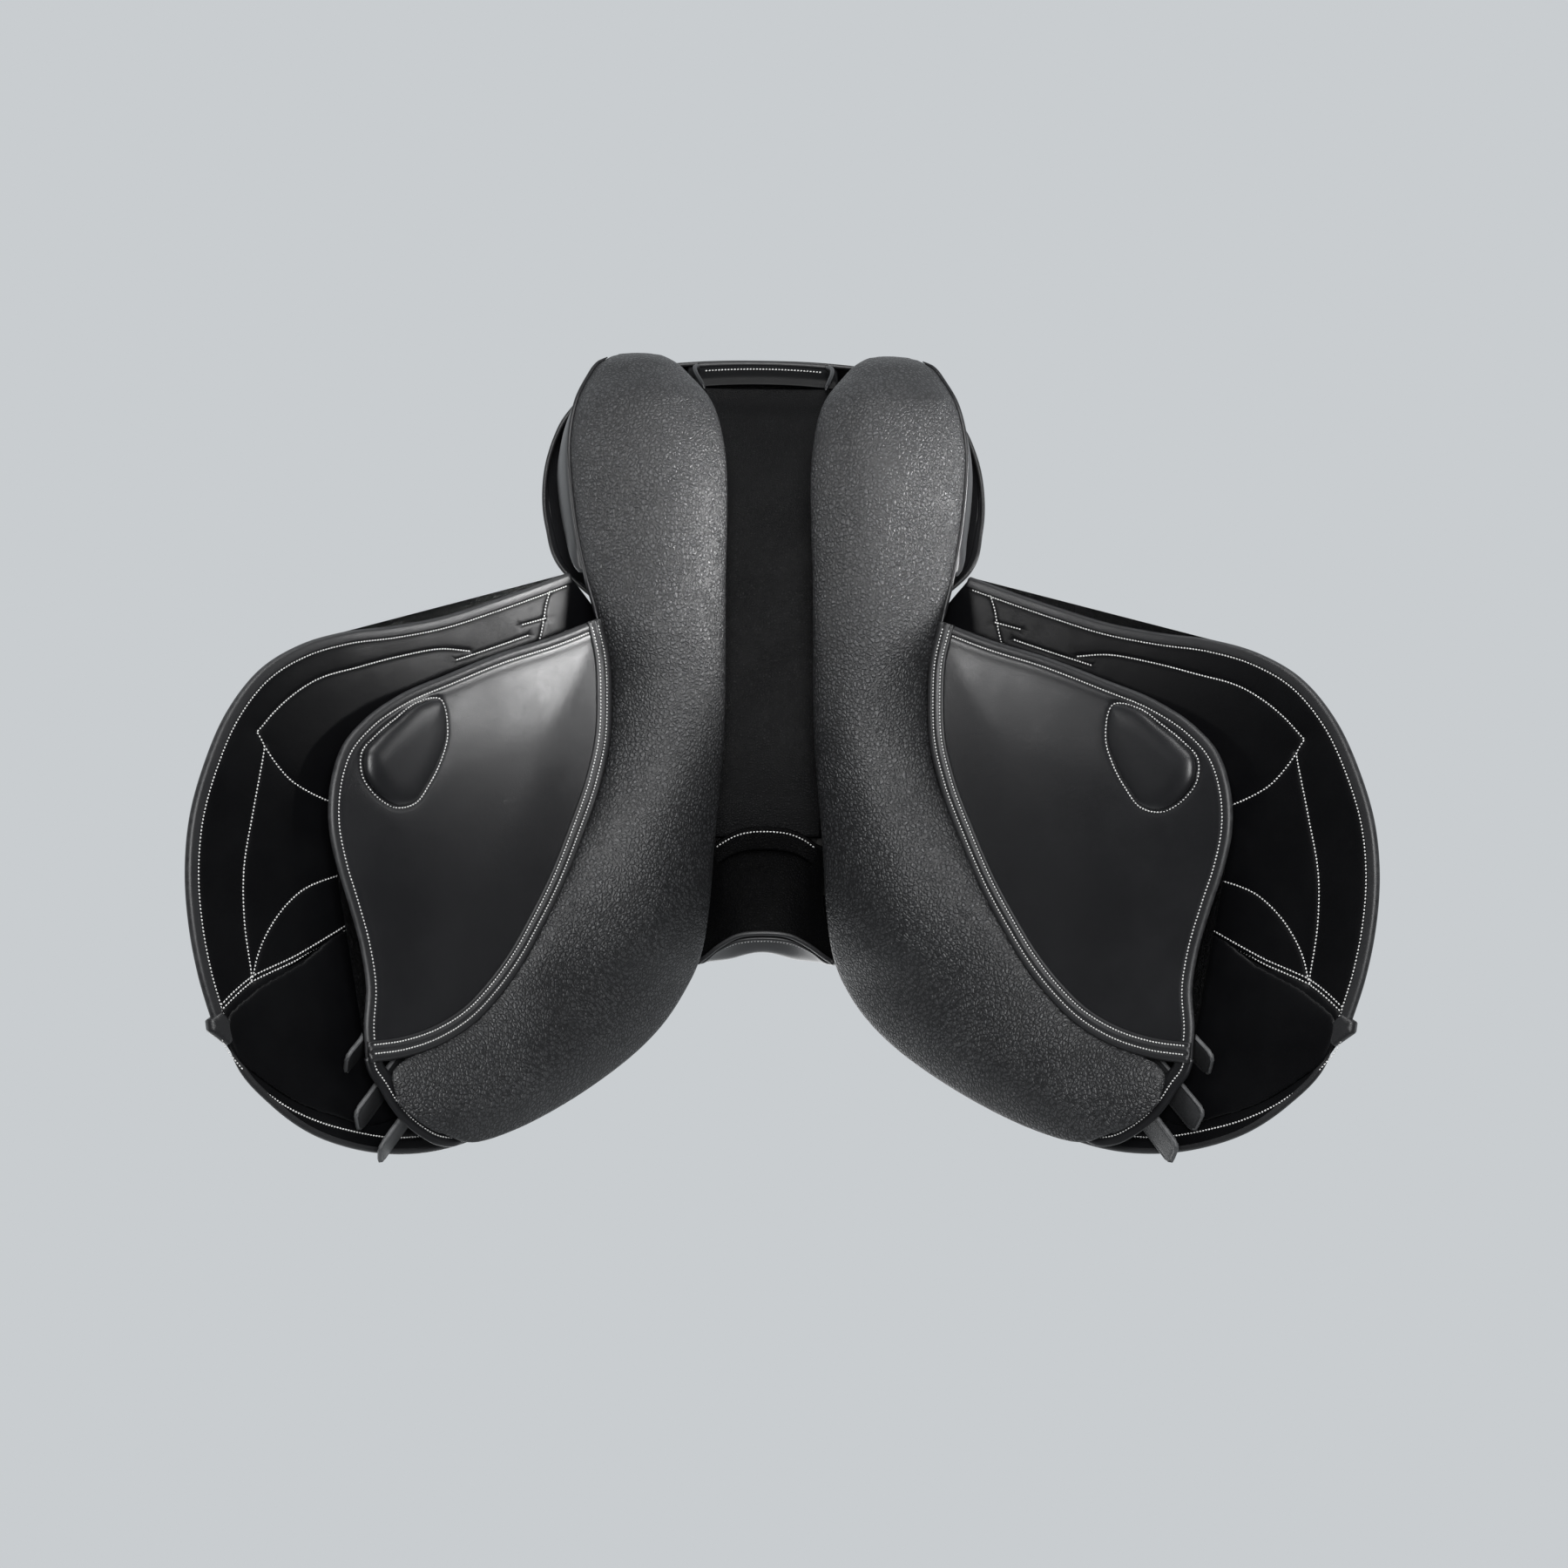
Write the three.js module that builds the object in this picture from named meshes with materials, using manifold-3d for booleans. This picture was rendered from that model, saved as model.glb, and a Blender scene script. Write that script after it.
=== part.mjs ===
// English jumping saddle, built as an assembly: spring tree, steelwork, webbing, foam, seat, flaps, panels, billets.
// Millimetres. +Z up, +Y towards the cantle (rear), +X towards the near (left) side. X = 0 is the saddle's plane of symmetry.
// Z = 0 is the height at which the tree's underside bears, Y = 0 is over the middle of the stirrup bars and billets.
import * as THREE from "three";
import { mergeVertices } from "three/addons/utils/BufferGeometryUtils.js";
import Module from "manifold-3d";

const wasm = await Module();
wasm.setup();

// ---------------------------------------------------------------- driving dimensions
const FLAP_SLOPE = 0.95; // drop of the hanging flap per unit of width
const FLAP_X = 110, FLAP_Z = -10; // a point of the flap's inner face, on its fold line
const FLAP_T = 5; // flap, two skins of leather
const SWEAT_N = -21.7; // inner face of the sweat flap below the flap's inner face
const SWEAT_T = 4;
const SKIRT_T = 4;
const BILLET_W = 25, BILLET_T = 3.3, BILLET_L = 350;
const LAYER = { b1: [-5.3, -2.0], webRear: [-7.3, -5.7], b2: [-11.0, -7.7], b3: [-14.7, -11.4], webFront: [-16.7, -15.1] };
const GAP = 0.4; // between touching pieces
const COVER_T = 3; // seat leather with its backing
const FOAM_MIN = 6; // foam over the tree's rim
const RING_R = 14, RING_T = 2.2; // front dees
const CATCH_PIN = [-0.8, -4.4]; // (y, n) of the safety catch's pin

const C = 1 / Math.hypot(1, FLAP_SLOPE), S = FLAP_SLOPE * C; // cosine and sine of the flap's slope
// side plane: u runs down the slope, n is the outward normal, both from the fold line
const side = (u, y, n) => [FLAP_X + u * C + n * S, y, FLAP_Z - u * S + n * C];
const uOf = (x) => (x - FLAP_X) / C; // slope distance of a point of the inner face at half-width x
const zSweat = (x) => FLAP_Z - FLAP_SLOPE * (x - FLAP_X) + SWEAT_N / C;
const lerp = (a, b, t) => a + (b - a) * t;
const mix = (p, q, t) => p.map((v, i) => lerp(v, q[i], t));

// ---------------------------------------------------------------- geometry helpers
function geometry(vertices, faces) {
  const g = new THREE.BufferGeometry();
  g.setAttribute("position", new THREE.BufferAttribute(new Float32Array(vertices.flat()), 3));
  g.setIndex(faces.flat());
  return faceOut(g);
}
// turns the winding so that the enclosed volume is positive
function faceOut(g) {
  const p = g.attributes.position.array, ix = g.index.array;
  let vol = 0;
  for (let i = 0; i < ix.length; i += 3) {
    const [a, b, c] = [ix[i] * 3, ix[i + 1] * 3, ix[i + 2] * 3];
    vol += p[a] * (p[b + 1] * p[c + 2] - p[b + 2] * p[c + 1]) - p[a + 1] * (p[b] * p[c + 2] - p[b + 2] * p[c]) + p[a + 2] * (p[b] * p[c + 1] - p[b + 1] * p[c]);
  }
  if (vol < 0) {
    const flipped = Array.from(ix);
    for (let i = 0; i < flipped.length; i += 3) [flipped[i + 1], flipped[i + 2]] = [flipped[i + 2], flipped[i + 1]];
    g.setIndex(flipped);
  }
  return g;
}
// a closed solid lofted through rings of equal point count; ends are capped, or the last ring joins the first
function loft(rings, loop = false) {
  const m = rings[0].length, v = rings.flat(), f = [];
  const last = loop ? rings.length : rings.length - 1;
  for (let r = 0; r < last; r++)
    for (let i = 0; i < m; i++) {
      const a = r * m + i, b = r * m + ((i + 1) % m), q = ((r + 1) % rings.length) * m;
      f.push([a, b, q + ((i + 1) % m)], [a, q + ((i + 1) % m), q + i]);
    }
  if (!loop)
    for (const [base, turn] of [[0, 1], [(rings.length - 1) * m, 0]]) {
      const centre = Array.from({ length: 3 }, (_, k) => v.slice(base, base + m).reduce((s, p) => s + p[k], 0) / m);
      const c = v.push(centre) - 1;
      for (let i = 0; i < m; i++) {
        const a = base + i, b = base + ((i + 1) % m);
        f.push(turn ? [c, b, a] : [c, a, b]);
      }
    }
  return geometry(v, f);
}
// a closed sheet between two grids of equal size, given as rows of points
function slab(top, bottom) {
  const R = top.length, K = top[0].length, v = [...top.flat(), ...bottom.flat()], f = [], n = R * K;
  const at = (r, k) => r * K + k;
  for (let r = 0; r < R - 1; r++)
    for (let k = 0; k < K - 1; k++) {
      const [a, b, c, d] = [at(r, k), at(r, k + 1), at(r + 1, k + 1), at(r + 1, k)];
      f.push([a, b, c], [a, c, d], [n + a, n + c, n + b], [n + a, n + d, n + c]);
    }
  const rim = [];
  for (let k = 0; k < K - 1; k++) rim.push(at(0, k));
  for (let r = 0; r < R - 1; r++) rim.push(at(r, K - 1));
  for (let k = K - 1; k > 0; k--) rim.push(at(R - 1, k));
  for (let r = R - 1; r > 0; r--) rim.push(at(r, 0));
  rim.forEach((a, i) => {
    const b = rim[(i + 1) % rim.length];
    f.push([a, n + a, n + b], [a, n + b, b]);
  });
  return geometry(v, f);
}
// a flat piece in the side plane: outline of (x, y) on the inner face, between two heights n
function plate(outline, n0, n1) {
  const shape = new THREE.Shape(outline.map(([x, y]) => new THREE.Vector2(uOf(x), y)));
  const g = new THREE.ExtrudeGeometry(shape, { depth: n1 - n0, bevelEnabled: false, curveSegments: 4 });
  return placeSide(g, n0);
}
function placeSide(g, n0 = 0) {
  const p = g.attributes.position;
  for (let i = 0; i < p.count; i++) p.setXYZ(i, ...side(p.getX(i), p.getY(i), p.getZ(i) + n0));
  return clean(g);
}
function clean(g) {
  const c = g.clone();
  c.deleteAttribute("normal");
  c.deleteAttribute("uv");
  return faceOut(mergeVertices(c, 1e-3));
}
// a box in side-plane coordinates
function sideBox([u0, u1], [y0, y1], [n0, n1]) {
  const g = new THREE.BoxGeometry(u1 - u0, y1 - y0, n1 - n0);
  g.translate((u0 + u1) / 2, (y0 + y1) / 2, (n0 + n1) / 2);
  return placeSide(g);
}
function mirrored(g) {
  const c = g.clone();
  c.scale(-1, 1, 1);
  return faceOut(c);
}
function toSolid(g) {
  const c = clean(g.index ? g : mergeVertices(g));
  return new wasm.Manifold(new wasm.Mesh({ numProp: 3, vertProperties: c.attributes.position.array, triVerts: new Uint32Array(c.index.array) }));
}
function fromSolid(s) {
  const m = s.getMesh(), v = [];
  for (let i = 0; i < m.numVert; i++) v.push(Array.from(m.vertProperties.subarray(i * m.numProp, i * m.numProp + 3)));
  return geometry(v, [Array.from(m.triVerts)]);
}
const join = (...gs) => fromSolid(gs.map(toSolid).reduce((a, b) => a.add(b)));
const cut = (g, ...tools) => fromSolid(tools.map(toSolid).reduce((a, b) => a.subtract(b), toSolid(g)));
// a piecewise linear table
function table(rows) {
  return (x) => {
    if (x <= rows[0][0]) return rows[0][1];
    for (let i = 1; i < rows.length; i++)
      if (x <= rows[i][0]) return lerp(rows[i - 1][1], rows[i][1], (x - rows[i - 1][0]) / (rows[i][0] - rows[i - 1][0]));
    return rows[rows.length - 1][1];
  };
}

// ---------------------------------------------------------------- the seat's form
// height of the seat along the centre line
const seatZ = table([[-110, 88], [-80, 82], [-60, 75], [-20, 58], [20, 46], [60, 40], [100, 38], [140, 41], [180, 50], [220, 64], [250, 78]]);
// rim of the seat from the pommel's centre round the near side to the cantle's centre, and the spine point it faces
const RIM = [
  [0, -104, 88], [24, -108, 85], [43, -116, 74], [55, -115, 60], [62, -95, 49], [68, -60, 38], [76, -20, 28], [86, 20, 21], [95, 60, 17], [104, 100, 16],
  [116, 140, 19], [131, 180, 26], [146, 218, 38], [156, 252, 53], [157, 284, 71], [146, 311, 92], [121, 331, 109], [88, 344, 121], [46, 350, 128], [0, 352, 130],
];
const SPINE_Y = [-80, -79, -77, -72, -62, -42, -10, 25, 62, 100, 136, 168, 194, 212, 225, 234, 241, 246, 249, 250];
// a point of the seat's upper surface: i is the rim station, s runs from the spine (0) to the rim (1)
function seatPoint(i, s, down = 0, inset = 0) {
  const [bx, by, bz] = RIM[i], sy = SPINE_Y[i], sz = seatZ(sy);
  const k = s * (1 - inset / Math.hypot(bx, by - sy, 1));
  return [bx * k, sy + (by - sy) * k, sz + (bz - sz) * k * k - down];
}
const SEAT_S = [0, 0.3, 0.55, 0.78, 0.92, 1];
// both halves of a sheet under the seat's surface, as rows from the off side's rim over the spine to the near side's rim
const seatRows = (down, inset, ss = SEAT_S) =>
  RIM.map((_, i) => {
    const half = ss.map((s) => seatPoint(i, s, typeof down === "function" ? down(i, s) : down, inset));
    return [...half.slice(1).reverse().map(([x, y, z]) => [-x, y, z]), ...half];
  });

const nodes = [];
const node = (name, geo, color, roughness, metalness = 0) => nodes.push([name, clean(geo), color, roughness, metalness]);
const pair = (name, geo, color, roughness, metalness = 0) => {
  node(name + "_left", geo, color, roughness, metalness);
  node(name + "_right", mirrored(clean(geo)), color, roughness, metalness);
};
const BLACK = 0x1d1e21, LINING = 0x161719, STEEL = 0x9a9da0, WEB = 0xb8ae95, TREE = 0x8a6b45, FOAM = 0xd7c9a0;

// a surface built on the seat's rows, whose end rows (pommel's centre and cantle's centre) meet at x = 0
function seatSolid(downTop, insetTop, downBottom, insetBottom, ss) {
  const top = seatRows(downTop, insetTop, ss), bottom = seatRows(downBottom, insetBottom, ss);
  // the first and last rows lie in the plane of symmetry, so their two halves coincide: the sheet is closed there by folding
  const K = top[0].length, mid = (K - 1) / 2, v = [], f = [], index = new Map();
  const id = (p) => {
    const key = p.map((c) => Math.round(c * 2000)).join(",");
    if (!index.has(key)) index.set(key, v.push(p) - 1);
    return index.get(key);
  };
  const quad = (a, b, c, d) => {
    for (const t of [[a, b, c], [a, c, d]]) {
      const q = t.map(id);
      if (q[0] !== q[1] && q[1] !== q[2] && q[0] !== q[2]) f.push(q);
    }
  };
  for (let r = 0; r < top.length - 1; r++) {
    for (let k = 0; k < K - 1; k++) {
      quad(top[r][k], top[r][k + 1], top[r + 1][k + 1], top[r + 1][k]);
      quad(bottom[r][k], bottom[r + 1][k], bottom[r + 1][k + 1], bottom[r][k + 1]);
    }
    quad(top[r][0], top[r + 1][0], bottom[r + 1][0], bottom[r][0]);
    quad(top[r][K - 1], bottom[r][K - 1], bottom[r + 1][K - 1], top[r + 1][K - 1]);
  }
  return geometry(v, f);
}
node("seat_cover", seatSolid(0, 0, COVER_T, 0, SEAT_S), BLACK, 0.5);
const foamDepth = (i, s) => COVER_T + GAP + lerp(i < 5 ? 12 : 20, FOAM_MIN, Math.min(1, s * s));
node("seat_foam", seatSolid(COVER_T + GAP, 0, foamDepth, 0, SEAT_S), FOAM, 0.9);

// ---------------------------------------------------------------- spring tree: a ring of laminated wood under the foam's rim
{
  const bars = (ss) => {
    const rings = [];
    const stations = RIM.map((_, i) => i);
    const seq = [...stations.map((i) => [i, 1]), ...stations.slice(1, -1).reverse().map((i) => [i, -1])];
    for (const [i, sg] of seq) {
      const tops = ss.map((s) => seatPoint(i, s, foamDepth(i, s) + GAP + 1.4));
      const t = i < 5 ? 12 : 9;
      const ring = [...tops, ...tops.slice().reverse().map(([x, y, z]) => [x, y, z - t])];
      rings.push(ring.map(([x, y, z]) => [x * sg, y, z]));
    }
    return rings;
  };
  node("tree_frame", loft(bars([0.92, 0.78, 0.55]), true), TREE, 0.6);
}

// ---------------------------------------------------------------- steelwork and webbing of the tree
const archCurve = (pts, half) => pts.filter(([x]) => x > 0).reverse().map(([x, z]) => [-x, z]).concat(pts);
function archStrip(pts, y0, y1, t, grow = 0) {
  const line = archCurve(pts);
  const rows = line.map(([x, z], i) => {
    const a = line[Math.max(0, i - 1)], b = line[Math.min(line.length - 1, i + 1)];
    const l = Math.hypot(b[0] - a[0], b[1] - a[1]), nx = -(b[1] - a[1]) / l, nz = (b[0] - a[0]) / l;
    return { top: [[x, y0, z], [x, y1, z]], bottom: [[x - nx * t, y0, z - nz * t], [x - nx * t, y1, z - nz * t]] };
  });
  return slab(rows.map((r) => r.top), rows.map((r) => r.bottom));
}
node("gullet_plate", archStrip([[0, 51], [20, 48.5], [34, 37.5], [43, 28], [53, 19], [60, 12]], -96, -71, 3), STEEL, 0.35, 1);
for (const [name, x] of [["gullet_rivet_left", 1], ["gullet_rivet_right", -1]]) {
  const g = new THREE.LatheGeometry([[0, -2.4], [2.6, -2], [4, -0.6], [4, 0], [0, 0]].map(([r, h]) => new THREE.Vector2(r, h)), 12);
  g.rotateX(Math.PI / 2);
  g.translate(x * 9, -82, 45.1);
  node(name, g, STEEL, 0.3, 1);
}
{
  // spring steels under the rails
  const rings = [];
  for (let i = 5; i <= 12; i++) {
    const p = seatPoint(i, 0.78), d = foamDepth(i, 0.78) + GAP + 1.4 + 9 + 0.9;
    const q = seatPoint(i, 0.86), e = foamDepth(i, 0.86) + GAP + 1.4 + 9 + 0.9;
    rings.push([[p[0], p[1], p[2] - d], [q[0], q[1], q[2] - e], [q[0], q[1], q[2] - e - 1.5], [p[0], p[1], p[2] - d - 1.5]]);
  }
  pair("spring_steel", loft(rings), STEEL, 0.35, 1);
}
{
  const under = (y) => seatZ(y) - COVER_T - GAP - 20;
  const ys = [-30, -10, 20, 60, 100, 140, 180, 215];
  const strip = (x0, x1, yy, drop, t) => slab(yy.map((y) => [[x0, y, under(y) - drop], [x1, y, under(y) - drop]]), yy.map((y) => [[x0, y, under(y) - drop - t], [x1, y, under(y) - drop - t]]));
  node("webbing_long", strip(-16, 16, ys, 3.2, 1.6), WEB, 0.9);
  node("webbing_cross_front", strip(-34, 34, [24, 60], 5.4, 1.6), WEB, 0.9);
  node("webbing_cross_rear", strip(-34, 34, [100, 140], 5.4, 1.6), WEB, 0.9);
}

// ---------------------------------------------------------------- gullet: channel lining, arch lining, rear facing
const ROOF = table([[-28, 18], [0, 8], [40, -1], [180, -1], [215, 4], [250, 14], [300, 36], [330, 58]]);
{
  const ys = [-28, 0, 40, 100, 180, 215, 250, 300, 329];
  const xs = [-43, -26, 0, 26, 43], dz = [-1.5, 0, 0.6, 0, -1.5];
  const top = ys.map((y) => xs.map((x, k) => [x, y, ROOF(y) + dz[k]]));
  node("gullet_lining", slab(top, top.map((r) => r.map(([x, y, z]) => [x, y, z - 2]))), LINING, 0.6);
}
{
  const half = [
    [[0, -99, 41], [20, -101, 39], [35.5, -109, 31], [47, -118, 20], [54, -123, 12.5]],
    [[0, -80, 39], [19, -80, 37], [32.5, -80, 30], [41.5, -80, 21.5], [46.5, -80, 16.5]],
    [[0, -36, 31], [17, -36, 30], [31, -36, 26], [41, -36, 19], [46, -36, 15]],
  ];
  const top = half.map((r) => [...r.slice(1).reverse().map(([x, y, z]) => [-x, y, z]), ...r]);
  node("arch_lining", slab(top, top.map((r) => r.map(([x, y, z]) => [x * 0.96, y, z - 3]))), LINING, 0.6);
}
{
  const line = [[355.5, 65], [350, 59], [343, 54.5], [336, 53]];
  const top = line.map(([y, z]) => [-60, -30, 0, 30, 60].map((x) => [x, y - 0.0009 * x * x, z]));
  node("rear_facing", slab(top, top.map((r) => r.map(([x, y, z]) => [x, y - 1.6, z + 1.8]))), BLACK, 0.5);
}

// ---------------------------------------------------------------- seat side and cantle back: one cover round the seat's edge, and the pommel's front
const OUT = RIM.map(([x, y], i) => {
  const a = RIM[Math.max(0, i - 1)], b = RIM[Math.min(RIM.length - 1, i + 1)];
  let [nx, ny] = [b[1] - a[1], -(b[0] - a[0])];
  if (i === RIM.length - 1) [nx, ny] = [0, 1];
  if (i === 0) [nx, ny] = [0, -1];
  const l = Math.hypot(nx, ny);
  return [nx / l, ny / l];
});
const SIDE_EDGE = {
  4: [68.5, -95, 35], 5: [75, -60, 30], 6: [83, -20, 23.5], 7: [91.5, 20, 17.5], 8: [99.7, 60, 12], 9: [107.8, 100, 8],
  10: [118.5, 142, 8], 11: [158, 180, 6], 12: [169, 214, 22], 13: [172, 245, 34], 14: [168, 276, 42], 15: [156, 306, 49],
  16: [133, 333, 57], 17: [98, 349, 63], 18: [52, 356, 67], 19: [0, 358, 69],
};
{
  const column = (i, off) => {
    const [x, y, z] = RIM[i], [nx, ny] = OUT[i], [kx, ky, kz] = SIDE_EDGE[i];
    const w = i < 11 ? 1.8 : 3, o = (off / 3) * w; // thinner where the skirt covers it
    const a = [x + nx * (0.8 + o), y + ny * (0.8 + o), z - 3];
    const k = [kx - nx * (w - o), ky - ny * (w - o), kz];
    const m = mix(a, k, 0.5), low = Math.max(0, Math.min(1, (a[2] - k[2]) / 40));
    m[0] += nx * 5 * low;
    m[1] += ny * 5 * low;
    return [a, m, k];
  };
  const idx = [];
  for (let i = 4; i < RIM.length; i++) idx.push([i, 1]);
  for (let i = RIM.length - 2; i >= 4; i--) idx.push([i, -1]);
  const rows = (off) => idx.map(([i, sg]) => column(i, off).map(([x, y, z]) => [i === RIM.length - 1 ? 0 : x * sg, y, z]));
  node("seat_side_cover", slab(rows(3), rows(0)), BLACK, 0.5);
  const front = [
    [[0, -106, 85], [0, -113, 64], [0, -103, 44.5]],
    [[24.3, -118.5 + 1, 82], [24, -117, 62], [20, -105, 42.5]],
    [[44, -119, 71], [43, -121, 50], [36.5, -113, 34.5]],
    [[57.5, -120, 57], [56, -124, 38], [48, -122, 22.5]],
    [[64.5, -104, 47], [66, -112, 32], [60, -121, 14]],
  ];
  const all = [...front.slice(1).reverse().map((r) => r.map(([x, y, z]) => [-x, y, z])), ...front];
  node("pommel_facing", slab(all, all.map((r) => r.map(([x, y, z], k) => [x * 0.99, y - 3, z]))), BLACK, 0.5);
}

// ---------------------------------------------------------------- panels: a stuffed cushion each side, with its rear gusset
// stations from the rear end to the knee corner: inner lower edge, outer lower edge, top inner, top outer, belly depth
const PANEL = [
  [[80, 352, 20], [120, 350, 20], [84, 348, 54], [114, 346, 53], 8],
  [[60, 331, 0], [137, 329, 2], [66, 328, 51], [131, 326, 49], 21],
  [[44, 308, -16], [146, 307, -12], [52, 307, 33], [148, 303, 41], 28],
  [[36, 282, -26], [151, 279, -22], [47, 280, 21], [157, 278, 33], 28],
  [[32, 248, -32], [151, 250, -29], [43, 248, 8], [160, 250, 25], 28],
  [[32, 205, -36], [146, 205, -35], [42, 205, -5], [154, 208, 6], 27],
  [[33, 165, -38], [138, 165, -43], [40, 165, -5], [140, 168, -33], 26],
  [[33, 128, -39], [128.6, 129, -52], [40, 128, -5], [84, 128, -8], 25],
  [[33, 85, -39], [120, 86, -48], [40, 85, -5], [82, 86, -8], 24],
  [[34, 42, -38], [120.6, 40, -49], [41, 42, -4.6], [80, 40, -7], 24],
  [[37, 4, -34], [127, 6, -56], [43, 4, -1], [79, 4, -6], 24],
  [[41, -40, -28], [141, -36, -70], [46, -40, 9], [78, -38, -5], 24],
  [[44, -82, -20], [156, -76, -85], [49, -82, 11], [78, -78, -5], 23],
  [[50, -119, -9], [169, -104, -97], [54, -117, 5], [80, -110, -8], 22],
  [[62, -146, 1], [183, -131, -110], [70, -142, 0], [100, -134, -26], 20],
  [[80, -173, -14], [199, -155, -125], [90, -168, -16], [130, -158, -54], 20],
  [[105, -198, -40], [216, -174, -141], [116, -192, -42], [160, -180, -84], 20],
  [[140, -224, -74], [237, -189, -161], [150, -218, -76], [195, -200, -118], 19],
  [[176, -245, -109], [259, -198, -181], [184, -238, -110], [222, -218, -145], 17],
  [[206, -259, -137], [276, -204, -198], [212, -252, -138], [245, -228, -168], 13],
  [[228, -266, -158], [284, -214, -206], [231, -260, -159], [260, -236, -183], 8],
  [[246, -260, -172], [277, -230, -200], [248, -256, -173], [264, -243, -188], 4],
];
const PANEL_S = [0.12, 0.35, 0.65, 0.88];
function panelRing(k) {
  const [I, O, T1, T2, h] = PANEL[k];
  const front = Math.max(0, Math.min(1, (-30 - I[1]) / 120));
  const down = [-0.1 * front, -0.06 * front, -1];
  const belly = PANEL_S.map((s) => mix(I, O, s).map((v, a) => v + down[a] * h * Math.pow(Math.sin(Math.PI * s), 0.65)));
  return [I, ...belly, O, T2, T1];
}
pair("panel", loft(PANEL.map((_, k) => panelRing(k))), BLACK, 0.45);
{
  const rows = [1, 2, 3, 4, 5, 6];
  const grow = (k, off) => {
    const [, O, , T2] = PANEL[k];
    const a = PANEL[k - 1][1], b = PANEL[k + 1][1];
    const l = Math.hypot(b[0] - a[0], b[1] - a[1]);
    const [nx, ny] = [-(b[1] - a[1]) / l, (b[0] - a[0]) / l];
    return [O, T2].map(([x, y, z]) => [x + nx * off, y + ny * off, z + 1.5]);
  };
  pair("panel_gusset", slab(rows.map((k) => grow(k, 3)), rows.map((k) => grow(k, 0.9))), BLACK, 0.5);
}

// ---------------------------------------------------------------- sweat flaps, thigh pads, main flaps, knee pads
const SWEAT = [
  [129, 130], [160, 112.5], [200, 93], [235, 73], [268, 53], [290, 33], [303, 14], [310, -12], [311, -40], [306, -68], [298, -95], [290, -125], [286, -152], [287, -180], [285, -202],
  [262, -198], [238, -188.5], [217, -173.5], [200, -154], [184, -130], [170, -103], [157, -75], [142, -35], [128.5, 7], [122, 40], [121, 72], [122.5, 101],
];
const inset = (outline, d) => {
  // moves each point of the outline towards the middle by d
  const cx = outline.reduce((s, p) => s + p[0], 0) / outline.length, cy = outline.reduce((s, p) => s + p[1], 0) / outline.length;
  return outline.map(([x, y]) => {
    const l = Math.hypot(x - cx, y - cy);
    return [x + ((cx - x) * d) / l, y + ((cy - y) * d) / l];
  });
};
// outlines are given where they are seen on each sheet's inner face, so their slope distance allows for the sheet's own height
const atHeight = (outline, n) => outline.map(([x, y]) => [x - n * S, y]);
pair("sweat_flap", plate(atHeight(inset(SWEAT, 0.8), SWEAT_N), SWEAT_N, SWEAT_N + SWEAT_T), BLACK, 0.35);
const THIGH = [[241, 54], [256, 50], [271, 36], [284, 22], [292, 10], [292, -4], [284, -18], [270, -26], [258, -21], [250, -8], [242, 10], [237, 30]];
pair("thigh_pad", plate(atHeight(THIGH, SWEAT_N - 5), SWEAT_N - 5, SWEAT_N - GAP), BLACK, 0.35);
const FLAP = [
  [112, 118], [124, 134], [138, 151], [151, 166], [180, 150], [210, 134], [240, 119], [274, 106.5], [306, 97], [333, 84], [357, 64], [377, 32], [390, -5], [398, -42], [400, -78], [397, -115], [391, -147], [381, -182],
  [372, -188], [366, -205], [345, -231], [322, -249], [298, -259], [270, -264], [240, -262], [205, -250], [168, -227], [136, -192], [120, -150], [116, -105], [116, 14], [112, 18],
];
pair("flap", plate(FLAP, 0, FLAP_T), BLACK, 0.4);
const KNEE = [[165, -86], [205, -86], [252, -118], [300, -165], [322, -205], [300, -238], [262, -248], [210, -235], [172, -205], [152, -165], [147, -126]];
pair("knee_pad", plate(KNEE, FLAP_T + GAP, FLAP_T + 9), BLACK, 0.4);
pair("flap_tab", sideBox([-14, -2], [20, 92], [0, 4]), BLACK, 0.5);

// ---------------------------------------------------------------- tree points, their pockets, stirrup bars and catches
pair("tree_point", sideBox([-24, 36], [-110, -88], [-16.8, -10]), TREE, 0.6);
pair("point_pocket", sideBox([-12, 42], [-114, -84], [-18.6, -17.3]), LINING, 0.6);
{
  const platePart = sideBox([-22, -3], [-82, -4.4], [-9.2, -7]);
  const bridge = sideBox([-17, -8], [-82, -74], [-7.2, 2]);
  const bar = sideBox([-17, -8], [-78, -3.6], [0, 3.4]);
  pair("stirrup_bar", join(platePart, bridge, bar), STEEL, 0.3, 1);
  // the safety catch lies back, open; it turns up about CATCH_PIN to close the bar's end
  pair("bar_catch", sideBox([-16.5, -8.5], [CATCH_PIN[0] - 1.8, CATCH_PIN[0] + 9], [CATCH_PIN[1] - 1.7, CATCH_PIN[1] + 1.7]), STEEL, 0.3, 1);
  const ears = sideBox([-19.5, -5.5], [-3.8, 3.4], [-9.2, -2.2]);
  pair("catch_bracket", cut(ears, sideBox([-16.9, -8.1], [-10, 12], [-7.2, 6])), STEEL, 0.35, 1);
}

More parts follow.
